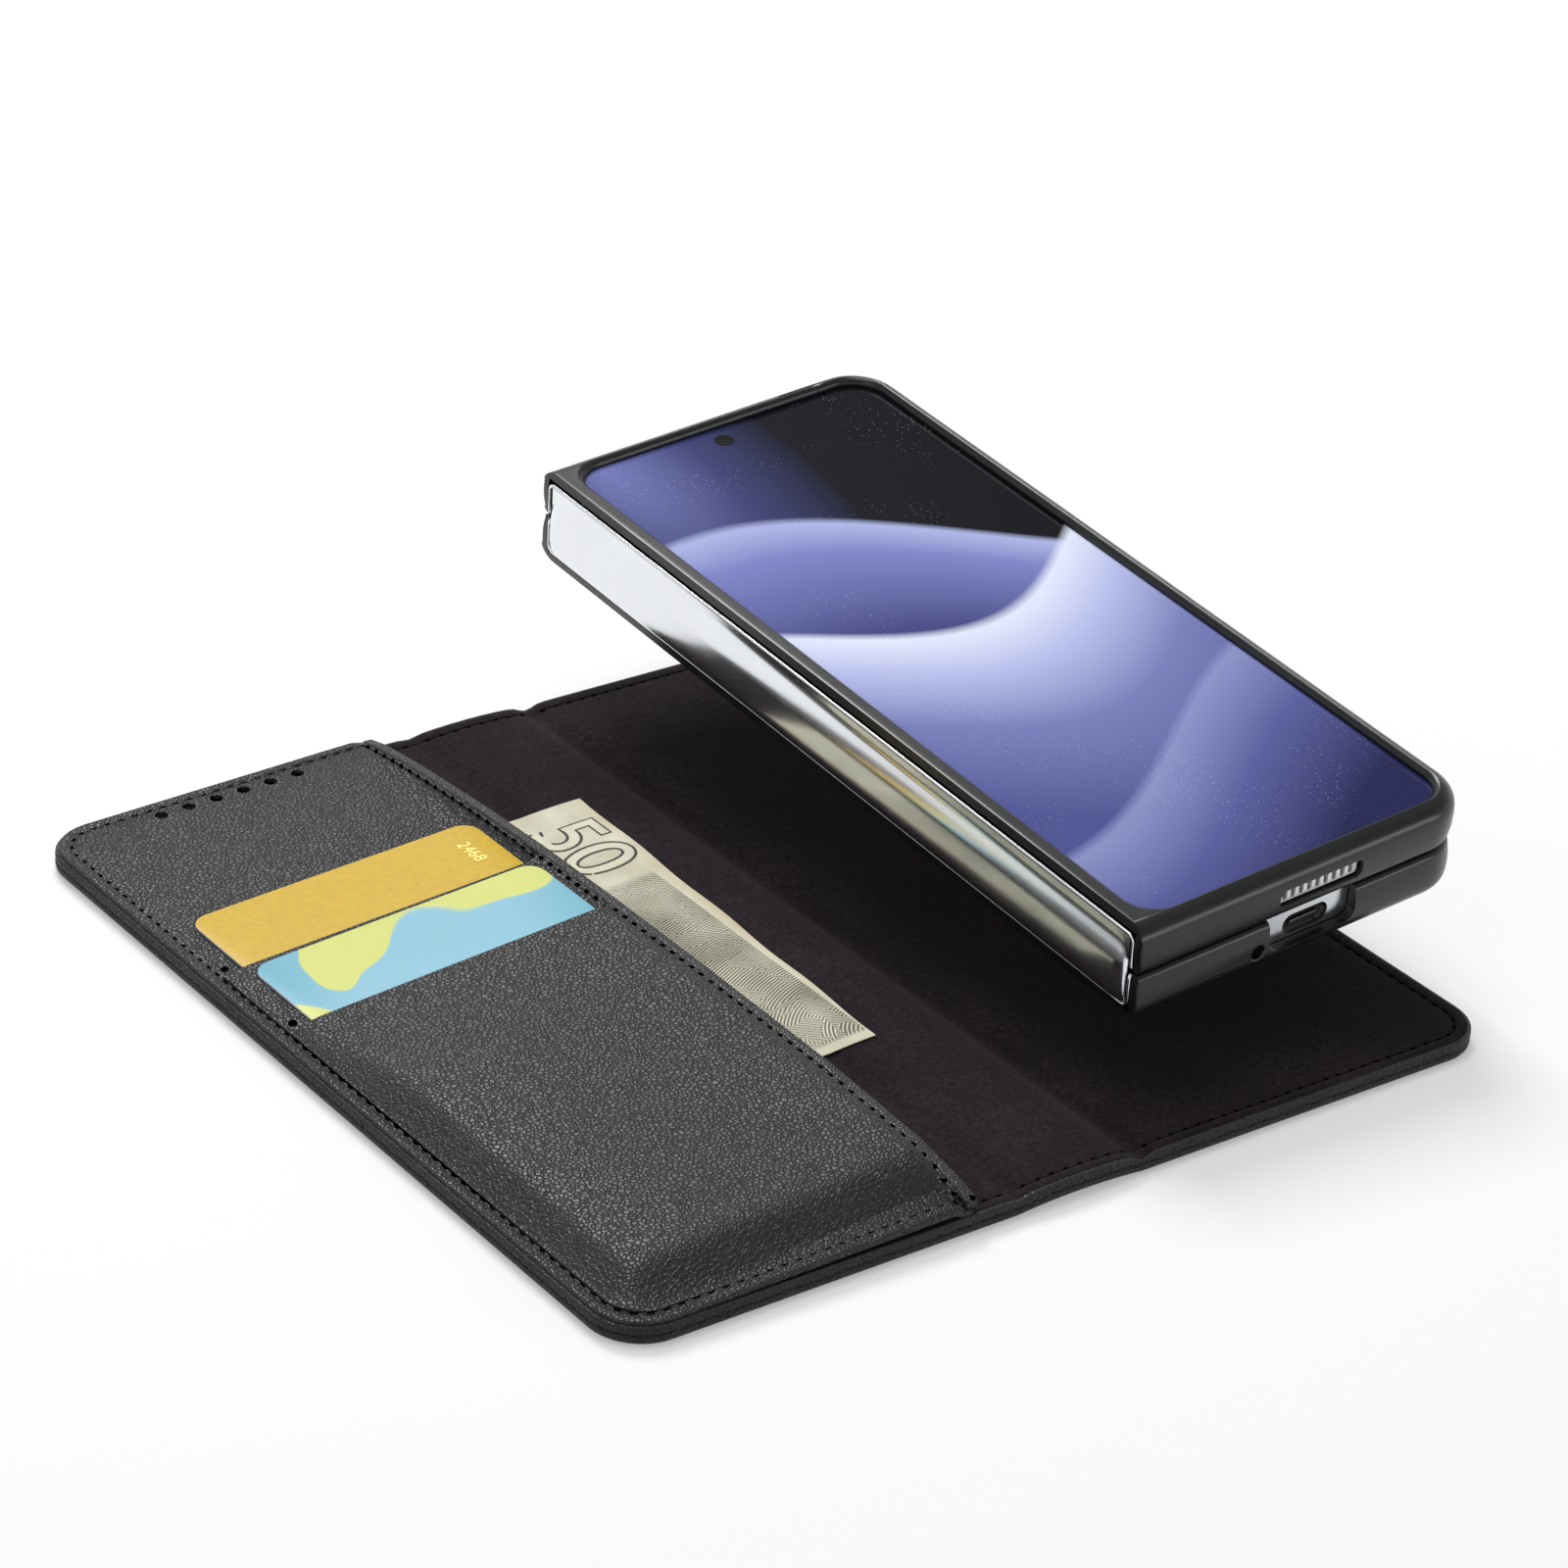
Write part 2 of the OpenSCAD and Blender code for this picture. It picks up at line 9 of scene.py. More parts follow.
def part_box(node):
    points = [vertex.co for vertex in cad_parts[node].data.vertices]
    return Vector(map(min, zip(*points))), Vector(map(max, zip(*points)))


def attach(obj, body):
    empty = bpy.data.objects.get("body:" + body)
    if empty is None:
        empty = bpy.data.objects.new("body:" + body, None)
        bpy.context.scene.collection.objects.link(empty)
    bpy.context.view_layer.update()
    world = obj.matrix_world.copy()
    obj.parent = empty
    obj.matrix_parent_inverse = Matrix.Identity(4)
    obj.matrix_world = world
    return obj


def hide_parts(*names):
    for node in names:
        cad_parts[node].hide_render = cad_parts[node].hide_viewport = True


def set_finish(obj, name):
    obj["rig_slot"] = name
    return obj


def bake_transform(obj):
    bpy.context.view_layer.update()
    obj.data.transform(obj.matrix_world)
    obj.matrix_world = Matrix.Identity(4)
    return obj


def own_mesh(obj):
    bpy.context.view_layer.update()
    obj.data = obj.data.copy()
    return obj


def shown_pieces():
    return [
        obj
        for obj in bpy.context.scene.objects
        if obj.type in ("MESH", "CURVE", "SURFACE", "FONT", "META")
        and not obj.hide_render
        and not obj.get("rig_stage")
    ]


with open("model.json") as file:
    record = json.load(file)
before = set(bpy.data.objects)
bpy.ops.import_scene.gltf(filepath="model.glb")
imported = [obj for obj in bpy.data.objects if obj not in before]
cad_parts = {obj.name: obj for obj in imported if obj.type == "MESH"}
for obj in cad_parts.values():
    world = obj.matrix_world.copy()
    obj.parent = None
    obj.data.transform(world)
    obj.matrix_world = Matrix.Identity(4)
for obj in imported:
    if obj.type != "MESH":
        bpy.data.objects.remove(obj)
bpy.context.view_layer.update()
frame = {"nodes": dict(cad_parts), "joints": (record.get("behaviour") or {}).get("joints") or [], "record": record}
joints = {joint["name"]: joint for joint in frame["joints"]}
mm = 0.001

# ---- image points, in the photograph's frame at 1568 by 1568 ----
W = 1568
H = 1568
image_points = {
    "left_edge": (55.1, 851.0),
    "top_edge": (851.5, 375.4),
    "right_edge": (1471.3, 1029.7),
    "bottom_edge": (642.8, 1344.2),
    "sound_hole_outer": (162.7, 814.4),
    "sound_hole_inner": (298.9, 777.1),
    "gold_card_corner": (479.7, 829.9),
    "blue_card_corner": (257.7, 973.2),
    "hem_top_corner": (371.3, 739.3),
    "hem_bottom_corner": (968.8, 1208.3),
    "selfie_camera": (724.5, 440.5),
    "microphone_hole": (1258.1, 957.1),
    "hinge_cover_end": (1123.6, 1001.2),
    "upper_mouth_tack": (224.6, 969.4),
    "lower_mouth_tack": (292.7, 1023.3),
    "hem_tab_hole": (972.5, 1198.0),
    "card_digits": (471.6, 851.9),
}

# ---- camera ----
camera_azimuth = math.radians(-38.16)
camera_elevation = math.radians(28.152)
camera_roll = math.radians(4.028)
camera_distance = 920.3 * mm
camera_target = Vector((-9.852 * mm, 44.173 * mm, 0))
camera_lens = 122.0
sensor_width = 36.0
shift_x = 0.0
shift_y = 0.0


def set_camera():
    """Looks at the folio from the photograph's side."""
    level = math.cos(camera_elevation)
    back = Vector((math.sin(camera_azimuth) * level, -math.cos(camera_azimuth) * level,
                   math.sin(camera_elevation)))
    side = Vector((math.cos(camera_azimuth), math.sin(camera_azimuth), 0))
    top = back.cross(side)
    right = side * math.cos(camera_roll) + top * math.sin(camera_roll)
    up = top * math.cos(camera_roll) - side * math.sin(camera_roll)
    data = bpy.data.cameras.new("camera")
    data.lens = camera_lens
    data.sensor_width = sensor_width
    data.sensor_fit = "AUTO"
    data.shift_x = shift_x
    data.shift_y = shift_y
    data.clip_start = 0.01
    data.clip_end = 50
    camera = bpy.data.objects.new("camera", data)
    bpy.context.collection.objects.link(camera)
    turn = Matrix((right, up, back)).transposed().to_4x4()
    camera.matrix_world = Matrix.Translation(camera_target + back * camera_distance) @ turn
    bpy.context.scene.camera = camera
    return camera


camera = set_camera()
bpy.context.view_layer.update()


def sight(point):
    """The ray from the camera through a point of the photograph."""
    longest = max(W, H)
    across = Vector((point[0] - W / 2 + shift_x * longest, H / 2 - point[1] + shift_y * longest,
                     -longest * camera_lens / sensor_width))
    start = camera.matrix_world.translation
    return start, (camera.matrix_world.to_3x3() @ across).normalized()


def seen_at(place):
    """Where a place of the object shows in the photograph's frame."""
    local = camera.matrix_world.inverted() @ Vector(place)
    longest = max(W, H)
    scale = longest * camera_lens / sensor_width / -local.z
    return W / 2 - shift_x * longest + local.x * scale, H / 2 + shift_y * longest - local.y * scale


def tree_of(piece):
    """A search tree of a finished piece's faces, where they stand."""
    places = [piece.matrix_world @ vertex.co for vertex in piece.data.vertices]
    return BVHTree.FromPolygons(places, [tuple(face.vertices) for face in piece.data.polygons])


def place_by_point(carrier, point):
    """The place and the normal where a point of the photograph lies on its carrier."""
    start, direction = sight(point)
    tree = tree_of(carrier)
    place, normal, _, _ = tree.ray_cast(start, direction)
    if place is None:
        middle = carrier.matrix_world @ (sum((Vector(c) for c in carrier.bound_box), Vector()) / 8)
        nearest = start + direction * (middle - start).dot(direction)
        place, normal, _, _ = tree.find_nearest(nearest)
    return place, normal


# ---- modelling by hand: the few moves that every piece uses ----
def only(*pieces):
    """Selects these pieces alone."""
    if bpy.context.mode != "OBJECT":
        bpy.ops.object.mode_set(mode="OBJECT")
    bpy.ops.object.select_all(action="DESELECT")
    for piece in pieces:
        piece.select_set(True)
    bpy.context.view_layer.objects.active = pieces[0]


def call(piece, name):
    """Names a piece and its mesh."""
    piece.name = name
    piece.data.name = name
    return piece


def fix_in_place():
    """Works the selected piece's place, turn and size into its mesh."""
    bpy.ops.object.transform_apply(location=True, rotation=True, scale=True)


def block(name, low, high):
    """A block of leather, plastic or metal, cut to its size at its place."""
    bpy.ops.object.select_all(action="DESELECT")
    low = Vector(low)
    high = Vector(high)
    bpy.ops.mesh.primitive_cube_add(size=1, location=(low + high) / 2)
    piece = bpy.context.object
    piece.scale = high - low
    fix_in_place()
    return call(piece, name)


def pick(piece, kind, wanted):
    """Selects the faces, edges or vertices of a piece that a test wants."""
    modes = {"verts": "VERT", "edges": "EDGE", "faces": "FACE"}
    bpy.ops.mesh.select_mode(type=modes[kind])
    bpy.ops.mesh.select_all(action="DESELECT")
    shape = bmesh.from_edit_mesh(piece.data)
    shape.normal_update()
    count = 0
    for part in getattr(shape, kind):
        if wanted(part):
            part.select_set(True)
            count += 1
    shape.select_flush_mode()
    bmesh.update_edit_mesh(piece.data)
    return count


def start_work(piece):
    """Opens a piece for shaping."""
    only(piece)
    bpy.ops.object.mode_set(mode="EDIT")


def end_work():
    """Closes the piece that is open."""
    bpy.ops.object.mode_set(mode="OBJECT")


def round_upright(piece, radius, steps, corner=None):
    """Rounds the upright edges, or those whose place a test accepts."""
    bevel_where(piece, lambda edge: reach(edge, 0) < 1e-6 and reach(edge, 1) < 1e-6
                and (corner is None or corner(edge.verts[0].co)), radius, steps)


def cut_across(axis, place, **kept):
    """Cuts the open piece across at a place along an axis."""
    point = [0, 0, 0]
    point[axis] = place
    normal = [0, 0, 0]
    normal[axis] = 1
    bpy.ops.mesh.select_all(action="SELECT")
    bpy.ops.mesh.bisect(plane_co=point, plane_no=normal, **kept)


def cut_lines(piece, axis, places):
    """Cuts a piece across at each place, so that it can bend there."""
    start_work(piece)
    for place in places:
        cut_across(axis, place)
    end_work()


def keep_side(piece, axis, place, low_side):
    """Cuts a piece in two and keeps one side, with its cut closed."""
    start_work(piece)
    cut_across(axis, place, use_fill=True, clear_outer=low_side, clear_inner=not low_side)
    end_work()


def shape(piece, move):
    """Moves each vertex of a piece to where a function puts it."""
    for vertex in piece.data.vertices:
        vertex.co = move(vertex.co)
    piece.data.update()


def soften(piece, width, steps=2, angle=40):
    """Rounds the sharp edges of a piece."""
    only(piece)
    modifier = piece.modifiers.new("edge", "BEVEL")
    modifier.width = width
    modifier.segments = steps
    modifier.limit_method = "ANGLE"
    modifier.angle_limit = math.radians(angle)
    bpy.ops.object.modifier_apply(modifier=modifier.name)


def smooth(piece, angle=35):
    """Shades a piece smooth, apart from its sharp edges."""
    only(piece)
    bpy.ops.object.shade_smooth_by_angle(angle=math.radians(angle))


def copy_of(piece, name):
    """A copy of a piece with its own mesh."""
    made = piece.copy()
    made.data = piece.data.copy()
    bpy.context.collection.objects.link(made)
    return call(made, name)


def join(name, pieces):
    """Joins pieces into one."""
    only(*pieces)
    if len(pieces) > 1:
        bpy.ops.object.join()
    fix_in_place()
    return call(bpy.context.object, name)


def give(piece, material):
    """Gives a piece one finish all over."""
    piece.data.materials.clear()
    piece.data.materials.append(material)


def cut_out(piece, tool):
    """Cuts a tool's form out of a piece and clears the tool away."""
    only(piece)
    modifier = piece.modifiers.new("cut", "BOOLEAN")
    modifier.object = tool
    modifier.operation = "DIFFERENCE"
    modifier.solver = "EXACT"
    bpy.ops.object.modifier_apply(modifier=modifier.name)
    bpy.data.objects.remove(tool)


def rod(name, centre, axis, radius, length, sides=24):
    """A round rod of metal, glass or thread along one axis, centred at its place."""
    bpy.ops.object.select_all(action="DESELECT")
    turns = {0: (0, math.pi / 2, 0), 1: (math.pi / 2, 0, 0), 2: (0, 0, 0)}
    bpy.ops.mesh.primitive_cylinder_add(vertices=sides, radius=radius, depth=length, location=centre,
                                        rotation=turns[axis])
    fix_in_place()
    return call(bpy.context.object, name)


def bevel_where(piece, wanted, width, steps):
    """Rounds the edges of a piece that a test wants."""
    start_work(piece)
    count = pick(piece, "edges", wanted)
    if count:
        bpy.ops.mesh.bevel(offset=width, segments=steps, affect="EDGES")
    end_work()


def reach(edge, axis):
    """How far an edge runs along an axis."""
    return abs(edge.verts[0].co[axis] - edge.verts[1].co[axis])


def faces_up(face):
    """True for a face that looks up."""
    return face.normal.z > 0.9


def faces_down(face):
    """True for a face that looks down."""
    return face.normal.z < -0.9


def step_in(piece, wanted, *steps):
    """Insets the faces that a test wants, step by step, each by a width and a depth."""
    start_work(piece)
    pick(piece, "faces", wanted)
    for width, depth in steps:
        bpy.ops.mesh.inset(thickness=width, depth=depth)
    end_work()


def all_at(edge, axis, place):
    """True for an edge that lies at one place along an axis."""
    return all(abs(vertex.co[axis] - place) < 2e-6 for vertex in edge.verts)


def between_top_and_side(edge, axis=2):
    """True for an edge where a flat face meets a wall."""
    if len(edge.link_faces) != 2:
        return False
    tilts = sorted(abs(face.normal[axis]) for face in edge.link_faces)
    return tilts[0] < 0.5 < tilts[1]


def stand_on(piece, place, normal):
    """Stands a piece, made about the origin, on a place of a surface."""
    turn = Vector((0, 0, 1)).rotation_difference(normal).to_matrix().to_4x4()
    piece.matrix_world = Matrix.Translation(place) @ turn
    only(piece)
    fix_in_place()


def spread(low, high, step):
    """Evenly spaced places between two ends, without the ends."""
    count = max(1, round((high - low) / step))
    return [low + (high - low) * index / count for index in range(1, count)]


def ease(value, low, high):
    """0 below low, 1 above high, and a smooth rise between."""
    part = min(1, max(0, (value - low) / (high - low)))
    return part * part * (3 - 2 * part)


# ---- finishes ----
def new_finish(name, colour, roughness, metallic=0.0):
    """A material with its shader's plain values, and the places of the piece that wears it."""
    material = bpy.data.materials.new(name)
    material.use_nodes = True
    set_sockets(material, Base_Color=(*colour, 1), Roughness=roughness, Metallic=metallic)
    material.diffuse_color = (*colour, 1)
    return material, add(material, "TexCoord").outputs["Object"]


def add(material, kind, settings=None, **values):
    """A node with its settings and the values of its sockets."""
    made = material.node_tree.nodes.new("ShaderNode" + kind)
    for name, value in (settings or {}).items():
        setattr(made, name, value)
    for name, value in values.items():
        socket = made.inputs[int(name[1:])] if name[0] == "i" and name[1:].isdigit() \
            else made.inputs[name.replace("_", " ")]
        if isinstance(value, bpy.types.NodeSocket):
            material.node_tree.links.new(value, socket)
        else:
            socket.default_value = value
    return made


def link(material, source, target):
    """Joins an output to the shader's input of that name, or to a socket."""
    if isinstance(target, str):
        target = material.node_tree.nodes["Principled BSDF"].inputs[target]
    material.node_tree.links.new(source, target)


def ramp(material, source, stops):
    """A colour ramp with stops of (position, colour)."""
    made = material.node_tree.nodes.new("ShaderNodeValToRGB")
    while len(made.color_ramp.elements) < len(stops):
        made.color_ramp.elements.new(0.5)
    for element, (position, colour) in zip(made.color_ramp.elements, stops):
        element.position = position
        element.color = (*colour, 1) if len(colour) == 3 else colour
    material.node_tree.links.new(source, made.inputs["Fac"])
    return made.outputs["Color"]


def grey(value):
    """A grey colour."""
    return (value, value, value)


def set_sockets(material, **values):
    """Sets the shader's own sockets."""
    shader = material.node_tree.nodes["Principled BSDF"]
    for name, value in values.items():
        shader.inputs[name.replace("_", " ")].default_value = value


def shaded(colour, factor, more=0.0):
    """A colour made darker or lighter."""
    return tuple(part * factor + more for part in colour)


def maths(material, operation, *values):
    """The result of one operation on values or sockets."""
    sockets = {"i" + str(index): value for index, value in enumerate(values)}
    return add(material, "Math", {"operation": operation}, **sockets).outputs[0]


def noise(material, place, scale, detail, settings=None, **more):
    """How high a soft noise stands at a place."""
    made = add(material, "TexNoise", settings, Vector=place, Scale=scale, Detail=detail, **more)
    return made.outputs["Fac"]


def between(material, value, low, high):
    """Spreads a value that runs from 0 to 1 over a range."""
    return add(material, "MapRange", Value=value, To_Min=low, To_Max=high).outputs["Result"]


def mix(material, share, below, above, **settings):
    """One colour laid over another by a share."""
    made = add(material, "Mix", {"data_type": "RGBA", **settings}, i0=share, i6=below, i7=above)
    return made.outputs[2]


def add_bump(material, height, strength, distance):
    """Lets a height show as relief."""
    made = add(material, "Bump", Height=height, Strength=strength, Distance=distance)
    link(material, made.outputs["Normal"], "Normal")


def pebbled_leather(name, dark, light, roughness, grain=1300, depth=0.00014):
    """Black grained leather: small pebbles with fine creases whose base colour is painted darker as painted shade,
    slightly uneven in colour and gloss.
    """
    material, place = new_finish(name, light, roughness)
    drift = add(material, "TexNoise", Vector=place, Scale=520, Detail=2)
    pull = add(material, "VectorMath", {"operation": "SCALE"}, i0=drift.outputs["Color"], Scale=0.0007)
    bent = add(material, "VectorMath", {"operation": "ADD"}, i0=place, i1=pull.outputs["Vector"])
    pebble = add(material, "TexVoronoi", {"feature": "DISTANCE_TO_EDGE"}, Vector=bent.outputs["Vector"],
                 Scale=grain)
    crease = ramp(material, pebble.outputs["Distance"],
                  [(0.0, grey(0)), (0.06, grey(0.45)), (0.2, grey(0.9)), (0.4, grey(1))])
    cloud = noise(material, place, 55, 4, Roughness=0.6)
    shade = ramp(material, cloud, [(0.3, dark), (0.75, light)])
    # The creases take 0.3 of the dark tone: painted shade in the creases of the grain.
    link(material, mix(material, crease, (*shaded(dark, 0.3), 1), shade), "Base Color")
    worn = between(material, cloud, roughness - 0.07, roughness + 0.07)
    dull = between(material, crease, 0.4, 0.0)
    link(material, maths(material, "ADD", worn, dull), "Roughness")
    fine = noise(material, place, 5200, 3)
    add_bump(material, maths(material, "MULTIPLY_ADD", fine, 0.3, crease), 1.0, depth)
    return material


def brushed_suede(name):
    """Short-napped dark plum suede with lighter and darker strokes."""
    material, place = new_finish(name, (0.022, 0.016, 0.02), 0.95)
    stroke = noise(material, place, 45, 3, Roughness=0.5)
    nap = noise(material, place, 1100, 5, Roughness=0.75)
    both = maths(material, "MULTIPLY_ADD", nap, 0.7, maths(material, "MULTIPLY", stroke, 0.3))
    tone = ramp(material, both, [(0.36, (0.0042, 0.0028, 0.0035)), (0.5, (0.0105, 0.0075, 0.0094)),
                                 (0.66, (0.028, 0.0213, 0.0255))])
    link(material, tone, "Base Color")
    add_bump(material, nap, 0.5, 0.0002)
    set_sockets(material, Sheen_Weight=0.1, Sheen_Roughness=0.45, Sheen_Tint=(0.75, 0.6, 0.72, 1),
                Specular_IOR_Level=0.15)
    return material


def waxed_thread(name, dark, light, roughness):
    """Black twisted thread."""
    material, place = new_finish(name, grey(light), roughness)
    twist = add(material, "TexWave", {"bands_direction": "DIAGONAL"}, Vector=place, Scale=900,
                Distortion=1.5).outputs["Fac"]
    link(material, ramp(material, twist, [(0.2, grey(dark)), (0.8, grey(light))]), "Base Color")
    add_bump(material, twist, 0.6, 0.00008)
    return material


def satin_plastic(name, colour, roughness):
    """Moulded plastic with a very fine texture and faint handling marks."""
    material, place = new_finish(name, colour, roughness)
    marks = noise(material, place, 70, 5, Roughness=0.65)
    tone = ramp(material, marks, [(0.3, shaded(colour, 0.85)), (0.7, shaded(colour, 1.15))])
    link(material, tone, "Base Color")
    link(material, between(material, marks, roughness - 0.04, roughness + 0.06), "Roughness")
    add_bump(material, noise(material, place, 7000, 2), 0.05, 0.00005)
    return material


def bright_metal(name, colour, roughness):
    """Polished metal with faint smears in its gloss."""
    material, place = new_finish(name, colour, roughness, 1.0)
    smear = noise(material, place, 90, 6, Roughness=0.7)
    link(material, between(material, smear, max(0.02, roughness - 0.03), roughness + 0.05), "Roughness")
    link(material, ramp(material, smear, [(0.3, shaded(colour, 0.94)), (0.7, colour)]), "Base Color")
    return material


pocket_leather = pebbled_leather("pocket_leather", (0.005, 0.0054, 0.0058), (0.0095, 0.0102, 0.0107), 0.3)
edge_leather = pebbled_leather("turned_edge_leather", grey(0.008), grey(0.014), 0.3, 1700, 0.0001)
suede = brushed_suede("plum_suede")
# A slightly darker, less glossy copy of the edge leather for the upright sides: painted shade.
shaded_edge_side = pebbled_leather("pressed_edge_leather", grey(0.008), grey(0.013), 0.42, 1500, 0.00008)
set_sockets(shaded_edge_side, Specular_IOR_Level=0.35)
thread = waxed_thread("black_thread", 0.012, 0.03, 0.42)
lining_thread = waxed_thread("lining_thread", 0.003, 0.008, 0.85)
set_sockets(lining_thread, Specular_IOR_Level=0.12)
# Flat near-black finish for needle and tack holes: painted shade where the holes are.
needle_hole = satin_plastic("needle_hole", grey(0.0012), 0.95)
set_sockets(needle_hole, Specular_IOR_Level=0.0)
case_plastic = satin_plastic("case_plastic", (0.0095, 0.0102, 0.0104), 0.27)
set_sockets(case_plastic, Specular_IOR_Level=0.42)
phone_metal = bright_metal("phone_metal", (0.62, 0.64, 0.66), 0.2)
hinge_chrome = bright_metal("hinge_chrome", (0.80, 0.82, 0.84), 0.17)
pin_steel = bright_metal("pin_steel", (0.55, 0.55, 0.56), 0.25)
grille_metal = bright_metal("grille_metal", (0.5, 0.51, 0.52), 0.3)
grille_bright = bright_metal("grille_bright", (0.86, 0.87, 0.88), 0.35)
set_sockets(grille_bright, Metallic=0.3)
# Dark felt behind the speaker grille, also used for the painted shade inside the charging port.
dark_felt = satin_plastic("dark_felt", grey(0.004), 0.9)
key_metal = bright_metal("key_metal", (0.1, 0.1, 0.11), 0.3)

# ---- the folio's own measures, from the CAD boxes ----
front_low, front_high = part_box("front_leather")
back_low, back_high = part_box("back_leather")
front_crease = front_high.x
back_crease = back_low.x
spine_middle = (front_crease + back_crease) / 2
cover_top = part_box("front_lining")[1].z
corner_radius = 9 * mm
hem_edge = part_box("pocket_base")[1].x
upper_low, upper_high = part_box("upper_slot")
lower_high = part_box("lower_slot")[1]
seam_inset = 2.6 * mm
arch_height = 0.6 * mm
most_lift = 2.9 * mm
sound_hole_radius = 1.15 * mm
card_corner = 3.2 * mm
note_thickness = 0.16 * mm
leather_thickness = 0.75 * mm


def hem_lift(x, y):
    """How far the pockets' stack is lifted, from nothing at the outer seam to most at the hem."""
    from_crease = (front_crease - x) / mm
    outer_seam = 68
    slope = 58
    part = min(1.06, max(0, (outer_seam - from_crease) / slope))
    end = ease(y / mm, -86, -70) * 0.75 + 0.25
    end = min(end, 1 - 0.5 * ease(y / mm, 50, 86))
    return part, most_lift * part * end


def settle(place):
    """Takes a place of the flat stack of pockets and cards to where it lies on the filled pockets."""
    part, lift = hem_lift(place.x, place.y)
    press = 0.55 + 0.45 * part
    return Vector((place.x, place.y, cover_top + (place.z - cover_top) * press + lift))


hem_heights = ((-85.5, 5.3), (-80, 6.9), (-70, 8.6), (-47, 9.8), (-15, 10.2), (11, 10.2), (32, 9.9),
               (50, 9.1), (70, 7.6), (80, 6.5), (85.5, 5.2))


def hem_line(y):
    """The height of the sewn hem along the folio, as measured in the photograph."""
    last = hem_heights[-1][0]
    place = min(last, max(-last, y / mm))
    for (y0, z0), (y1, z1) in zip(hem_heights, hem_heights[1:]):
        if place <= y1:
            return (z0 + (z1 - z0) * (place - y0) / (y1 - y0)) * mm
    return hem_heights[-1][1] * mm


def layers_above(y, mouths):
    """How deep a sheet lies under the mouths of the pockets above it, at the hem."""
    return sum(leather_thickness * (1 - ease(y, mouth - 1 * mm, mouth + 2 * mm)) for mouth in mouths)


def draw_to_hem(place, height, below):
    """Draws a sheet down or up to the sewn hem, where all the pockets meet."""
    band_start = 9.6
    band_end = 12.9
    near_hem = 1 - ease((front_crease - place.x) / mm, band_start, band_end)
    return height + (hem_line(place.y) - below - height) * near_hem


def spine_arch(x):
    """The spine stands up a little between its two creases."""
    if x <= front_crease or x >= back_crease:
        return 0
    part = (x - front_crease) / (back_crease - front_crease)
    return arch_height * math.sin(math.pi * part) ** 0.8


bend_places = [front_crease + offset * mm for offset in
               (-9, -6, -4, -2.5, -1.2, 0, 1.2, 2.5, 4, 6, 8.5, 11.8)]
bend_places += [back_crease + offset * mm for offset in (-9, -6, -4, -2.5, -1.2, 0, 1.2, 2.5, 4, 6, 9)]


def dress_sides(piece, finish, tilt=0.42):
    """Gives a second finish to a sheet's upright sides."""
    piece.data.materials.append(finish)
    for face in piece.data.polygons:
        if abs(face.normal.z) < tilt:
            face.material_index = len(piece.data.materials) - 1


def sound_hole_row():
    """The first and the last of the six sound holes, on the flat panel."""
    y = 80.6 * mm
    middle = 38.8
    half_row = 13.25
    return (Vector((front_crease - (middle + half_row) * mm, y, 0)),
            Vector((front_crease - (middle - half_row) * mm, y, 0)))


def punch_sound_holes(sheet):
    """Punches the six sound holes through a sheet of the front cover."""
    first, last = sound_hole_row()
    drill = []
    for index in range(6):
        centre = first.lerp(last, index / 5)
        bpy.ops.object.select_all(action="DESELECT")
        bpy.ops.mesh.primitive_cylinder_add(vertices=24, radius=sound_hole_radius, depth=16 * mm,
                                            location=(centre.x, centre.y, cover_top))
        drill.append(bpy.context.object)
    cut_out(sheet, join("drill", drill))


def split_over_spine(piece, name, finish, hidden_front, hidden_back):
    """Cuts a folio sheet along the spine's middle into two finished halves."""
    back = copy_of(piece, name + "_back")
    front = call(piece, name + "_front")
    keep_side(front, 0, spine_middle, True)
    keep_side(back, 0, spine_middle, False)
    punch_sound_holes(front)
    for half in (front, back):
        give(half, finish)
        smooth(half)
    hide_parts(*hidden_front)
    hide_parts(*hidden_back)
    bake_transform(front)
    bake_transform(back)
    return front, back


window_width = 18 * mm
window_length = 53 * mm


def window_tool(grow):
    """The camera window's form: a long slot with round ends."""
    window = next(item for item in frame["record"]["physics"]["openings"]
                  if item["name"] == "camera_window")["box_m"]
    middle = (Vector(window[0]) + Vector(window[1])) / 2
    half_width = window_width / 2 + grow
    half_length = window_length / 2 + grow
    tool = block("window_tool", (middle.x - half_width, middle.y - half_length, -2 * mm),
                 (middle.x + half_width, middle.y + half_length, 8 * mm))
    round_upright(tool, half_width - 0.01 * mm, 12)
    return tool


